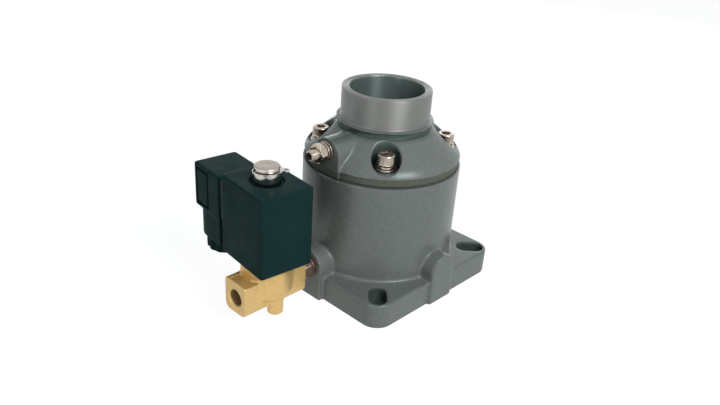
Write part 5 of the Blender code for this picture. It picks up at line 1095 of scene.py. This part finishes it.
# %% Nipple and its washers
PORT_AXIS = (0, 0, PORT_HEIGHT)
NIPPLE_FLATS = 12.6 * MM
for side in ("inner", "outer"):
    ring(f"{side}_seal", f"nipple_washer_{side}", COPPER, 4.9 * MM, 6.5 * MM, centre=PORT_AXIS, axis=0)
hex_start = box("nipple_washer_outer")[1][0] + 0.3 * MM
hex_end = box("nipple_washer_inner")[0][0] - 0.3 * MM
rows, heights = nut_rows(NIPPLE_FLATS, 4.5 * MM, hex_start, hex_end)
low, high = box("hex_nipple")
stem = section(2.5 * MM, 4.6 * MM, low[0], high[0], 0.4 * MM)
piece("nipple", [around(rows, heights, PORT_AXIS, ALONG_X), turned(stem, PORT_AXIS, ALONG_X)], BROWNED,
      "hex_nipple")

# %% [markdown]
# ## The coil
#
# The coil is a moulded block on the tube, turned by a few degrees as such coils are. Its own
# sideways axes are the frame's, turned about the tube, and its field is written in them. The
# tube is closed by a bright core, and a sleeve and a clip hold the coil down.

# %% Field and mesh of the coil
COIL_TURN = math.radians(-5.6)
coil_low, coil_high = box("coil")
COIL_DEPTH, COIL_WIDTH, COIL_BORE = 16.4 * MM, 19.8 * MM, 7.3 * MM
SOCKET_HALF, SOCKET_FACE = 12.0 * MM, 25.0 * MM
SLEEVE_RADIUS = 7.8 * MM
PLUG_CENTRE = middle("plug_gasket")[2]


def own_axes(x, y):
    """Coordinates along the coil's own sides, measured from the tube's axis."""
    x = x - SOLENOID[0]
    return (x * math.cos(COIL_TURN) + y * math.sin(COIL_TURN),
            y * math.cos(COIL_TURN) - x * math.sin(COIL_TURN))


def coil_field(x, y, z):
    """The moulded block with its socket base, bored for the tube."""
    across, along = own_axes(x, y)
    block = keep(keep(np.abs(across) - COIL_DEPTH, np.abs(along) - COIL_WIDTH, 1.3 * MM),
                 slab(z, coil_low[2], coil_high[2]), 1.0 * MM)
    base = keep(keep(np.abs(across) - SOCKET_HALF, np.abs(z - PLUG_CENTRE) - SOCKET_HALF, 1.0 * MM),
                slab(along, 15 * MM, SOCKET_FACE), 0.4 * MM)
    r = np.hypot(across, along)
    recess = keep(r - 9.6 * MM, coil_high[2] - 1.6 * MM - z, 0.3 * MM)
    return cut(cut(join(block, base, 0.6 * MM), recess, 0.4 * MM), r - COIL_BORE, 0.3 * MM)


COIL_CELL = 0.6 * MM
coil_axes = box_levels(coil_low, coil_high, 1.8 * MM, COIL_CELL)
piece("coil_block", [skin(coil_field, *coil_axes)], PLASTIC, "coil")

# %% Sleeve, core and seal of the coil
ring("sleeve", "retaining_sleeve", BRIGHT, COIL_BORE, SLEEVE_RADIUS, 0.2 * MM, SOLENOID)
low, high = box("fixed_core")
CORE_RADIUS, CORE_NECK, CORE_HEAD, CORE_TOP = 5.7 * MM, 5.0 * MM, 7.0 * MM, high[2]
core_outline = eased([
    (0.0, low[2]), (CORE_RADIUS, low[2]), (CORE_RADIUS, low[2] + 32.0 * MM),
    (CORE_NECK, CORE_TOP - 4.4 * MM), (CORE_NECK, CORE_TOP - 2.3 * MM), (CORE_HEAD, CORE_TOP - 2.3 * MM),
    (CORE_HEAD, CORE_TOP - 0.5 * MM), (6.4 * MM, CORE_TOP), (0.0, CORE_TOP)], 0.25 * MM)
core = piece("core", [turned(core_outline, SOLENOID)], BRIGHT, "fixed_core")
second_finish(core, SATIN, lambda x, y, z: z > CORE_TOP - 0.4 * MM)
ring("coil_ring", "coil_seal", RUBBER, COIL_BORE, 12.0 * MM, 0.3 * MM, SOLENOID)
low, high = box("armature_tube")
TUBE_BORE, TUBE_RADIUS, TUBE_COLLAR = 6.0 * MM, 7.0 * MM, 9.2 * MM
collar_top = low[2] + 8 * MM
tube_outline = eased([(TUBE_BORE, low[2]), (TUBE_COLLAR, low[2]), (TUBE_COLLAR, collar_top),
                      (TUBE_RADIUS, collar_top), (TUBE_RADIUS, high[2]), (TUBE_BORE, high[2])], 0.2 * MM)
piece("tube", [turned(tube_outline, SOLENOID)], STEEL, "armature_tube")

# %% [markdown]
# ## The cable plug
#
# The plug is a hollow black housing that is pressed against the coil's socket by one long
# screw. Its lower part rounds off into the neck for the cable, and each side has a plain
# framed panel. The gland nut has ribs for the fingers: its radius rises and falls with the angle.

# %% Field and mesh of the plug housing
PLUG_BACK, PLUG_DEPTH, PLUG_HALF = 27.0 * MM, 27.5 * MM, 13.8 * MM
plug_low, plug_high = box("plug_housing")
PLUG_HIGH = plug_high[2]
PLUG_LOW = PLUG_HIGH - 27.3 * MM
GLAND_ALONG = PLUG_BACK + 15.5 * MM
NECK_FOOT = PLUG_LOW - 17.0 * MM
PANEL_BACK, PANEL_FRONT = PLUG_BACK + 11.8 * MM, PLUG_BACK + PLUG_DEPTH - 2.2 * MM
PLUG_WALL = 2.4 * MM
STUB_RADIUS, CABLE_RADIUS = 8.0 * MM, 6.0 * MM
RECESS_RADIUS, RECESS_DEPTH, SCREW_BORE = 3.3 * MM, 2.7 * MM, 1.8 * MM


def plug_field(x, y, z):
    """The housing with its neck and stub, hollowed, with a groove round each side panel."""
    across, along = own_axes(x, y)
    depth = along - PLUG_BACK
    block = keep(keep(np.abs(across) - PLUG_HALF, np.abs(depth - PLUG_DEPTH / 2) - PLUG_DEPTH / 2, 1.6 * MM),
                 slab(z, PLUG_LOW, PLUG_HIGH), 1.4 * MM)
    neck = keep(np.abs(across) - PLUG_HALF + 0.4 * MM, depth - 26 * MM, 10 * MM)
    neck = keep(keep(neck, -depth + 0.3 * MM, 0.8 * MM), slab(z, NECK_FOOT, PLUG_LOW + 6 * MM), 1.0 * MM)
    gland = np.hypot(across, along - GLAND_ALONG)
    stub = keep(gland - STUB_RADIUS, slab(z, plug_low[2], NECK_FOOT + 2 * MM), 0.4 * MM)
    solid = join(join(block, neck, 0.8 * MM), stub, 0.5 * MM)
    middle_along, half_along = (PANEL_BACK + PANEL_FRONT) / 2, (PANEL_FRONT - PANEL_BACK) / 2
    middle_up, half_up = (PLUG_LOW + PLUG_HIGH) / 2, (PLUG_HIGH - PLUG_LOW) / 2 - 2.2 * MM
    rim = keep(np.abs(along - middle_along) - half_along, np.abs(z - middle_up) - half_up, 0.8 * MM)
    groove = keep(keep(rim, -rim - 1.5 * MM, 0.3 * MM), PLUG_HALF - 1.1 * MM - np.abs(across), 0.2 * MM)
    solid = cut(solid, groove, 0.25 * MM)
    cavity = keep(np.abs(across) - PLUG_HALF + PLUG_WALL, depth - PLUG_DEPTH + 6 * MM, 0.8 * MM)
    cavity = keep(cavity, slab(z, PLUG_LOW + PLUG_WALL, PLUG_HIGH - PLUG_WALL), 0.8 * MM)
    solid = cut(solid, cavity, 0.4 * MM)
    solid = cut(solid, keep(gland - CABLE_RADIUS, z - PLUG_LOW - 3 * MM, 0.4 * MM), 0.4 * MM)
    screw = np.hypot(across, z - PLUG_CENTRE)
    recess = keep(screw - RECESS_RADIUS, PLUG_DEPTH - RECESS_DEPTH - depth, 0.3 * MM)
    return cut(cut(solid, recess, 0.3 * MM), screw - SCREW_BORE, 0.3 * MM)


PLUG_CELL = 0.45 * MM
plug_axes = box_levels(plug_low, plug_high, 1.5 * MM, PLUG_CELL)
piece("plug_shell", [skin(plug_field, *plug_axes)], PLASTIC, "plug_housing")

# %% Gland nut and its seal
low, high = box("gland_nut")
gland_centre = middle("gland_nut") * np.array((1, 1, 0))
NUT_RADIUS, NUT_BORE, STUB_BORE = 11.8 * MM, 5.2 * MM, 8.3 * MM
GRIPS = 12
ridge_angles = np.linspace(0, 2 * np.pi, GRIPS * 16, endpoint=False)
ridge = np.clip(np.cos(GRIPS * ridge_angles) * 2.2, -1, 1)
ribbed = NUT_RADIUS - 0.35 * MM * (1 - ridge)
plain = np.ones(len(ridge_angles))
shelf = box("gland_seal")[0][2] - 0.3 * MM
rows = [plain * NUT_BORE, plain * (NUT_RADIUS - 1.6 * MM), ribbed - 0.5 * MM, ribbed, ribbed,
        ribbed - 0.3 * MM, plain * (NUT_RADIUS - 1.2 * MM), plain * STUB_BORE, plain * STUB_BORE,
        plain * NUT_BORE]
heights = [low[2], low[2], low[2] + 0.5 * MM, low[2] + 1.2 * MM, high[2] - 0.6 * MM, high[2] - 0.1 * MM,
           high[2], high[2], shelf, shelf]
piece("gland_cap", [around(np.array(rows), heights, gland_centre)], PLASTIC, "gland_nut")
ring("gland_ring", "gland_seal", RUBBER, 3.7 * MM, 8.0 * MM, 0.3 * MM, gland_centre)
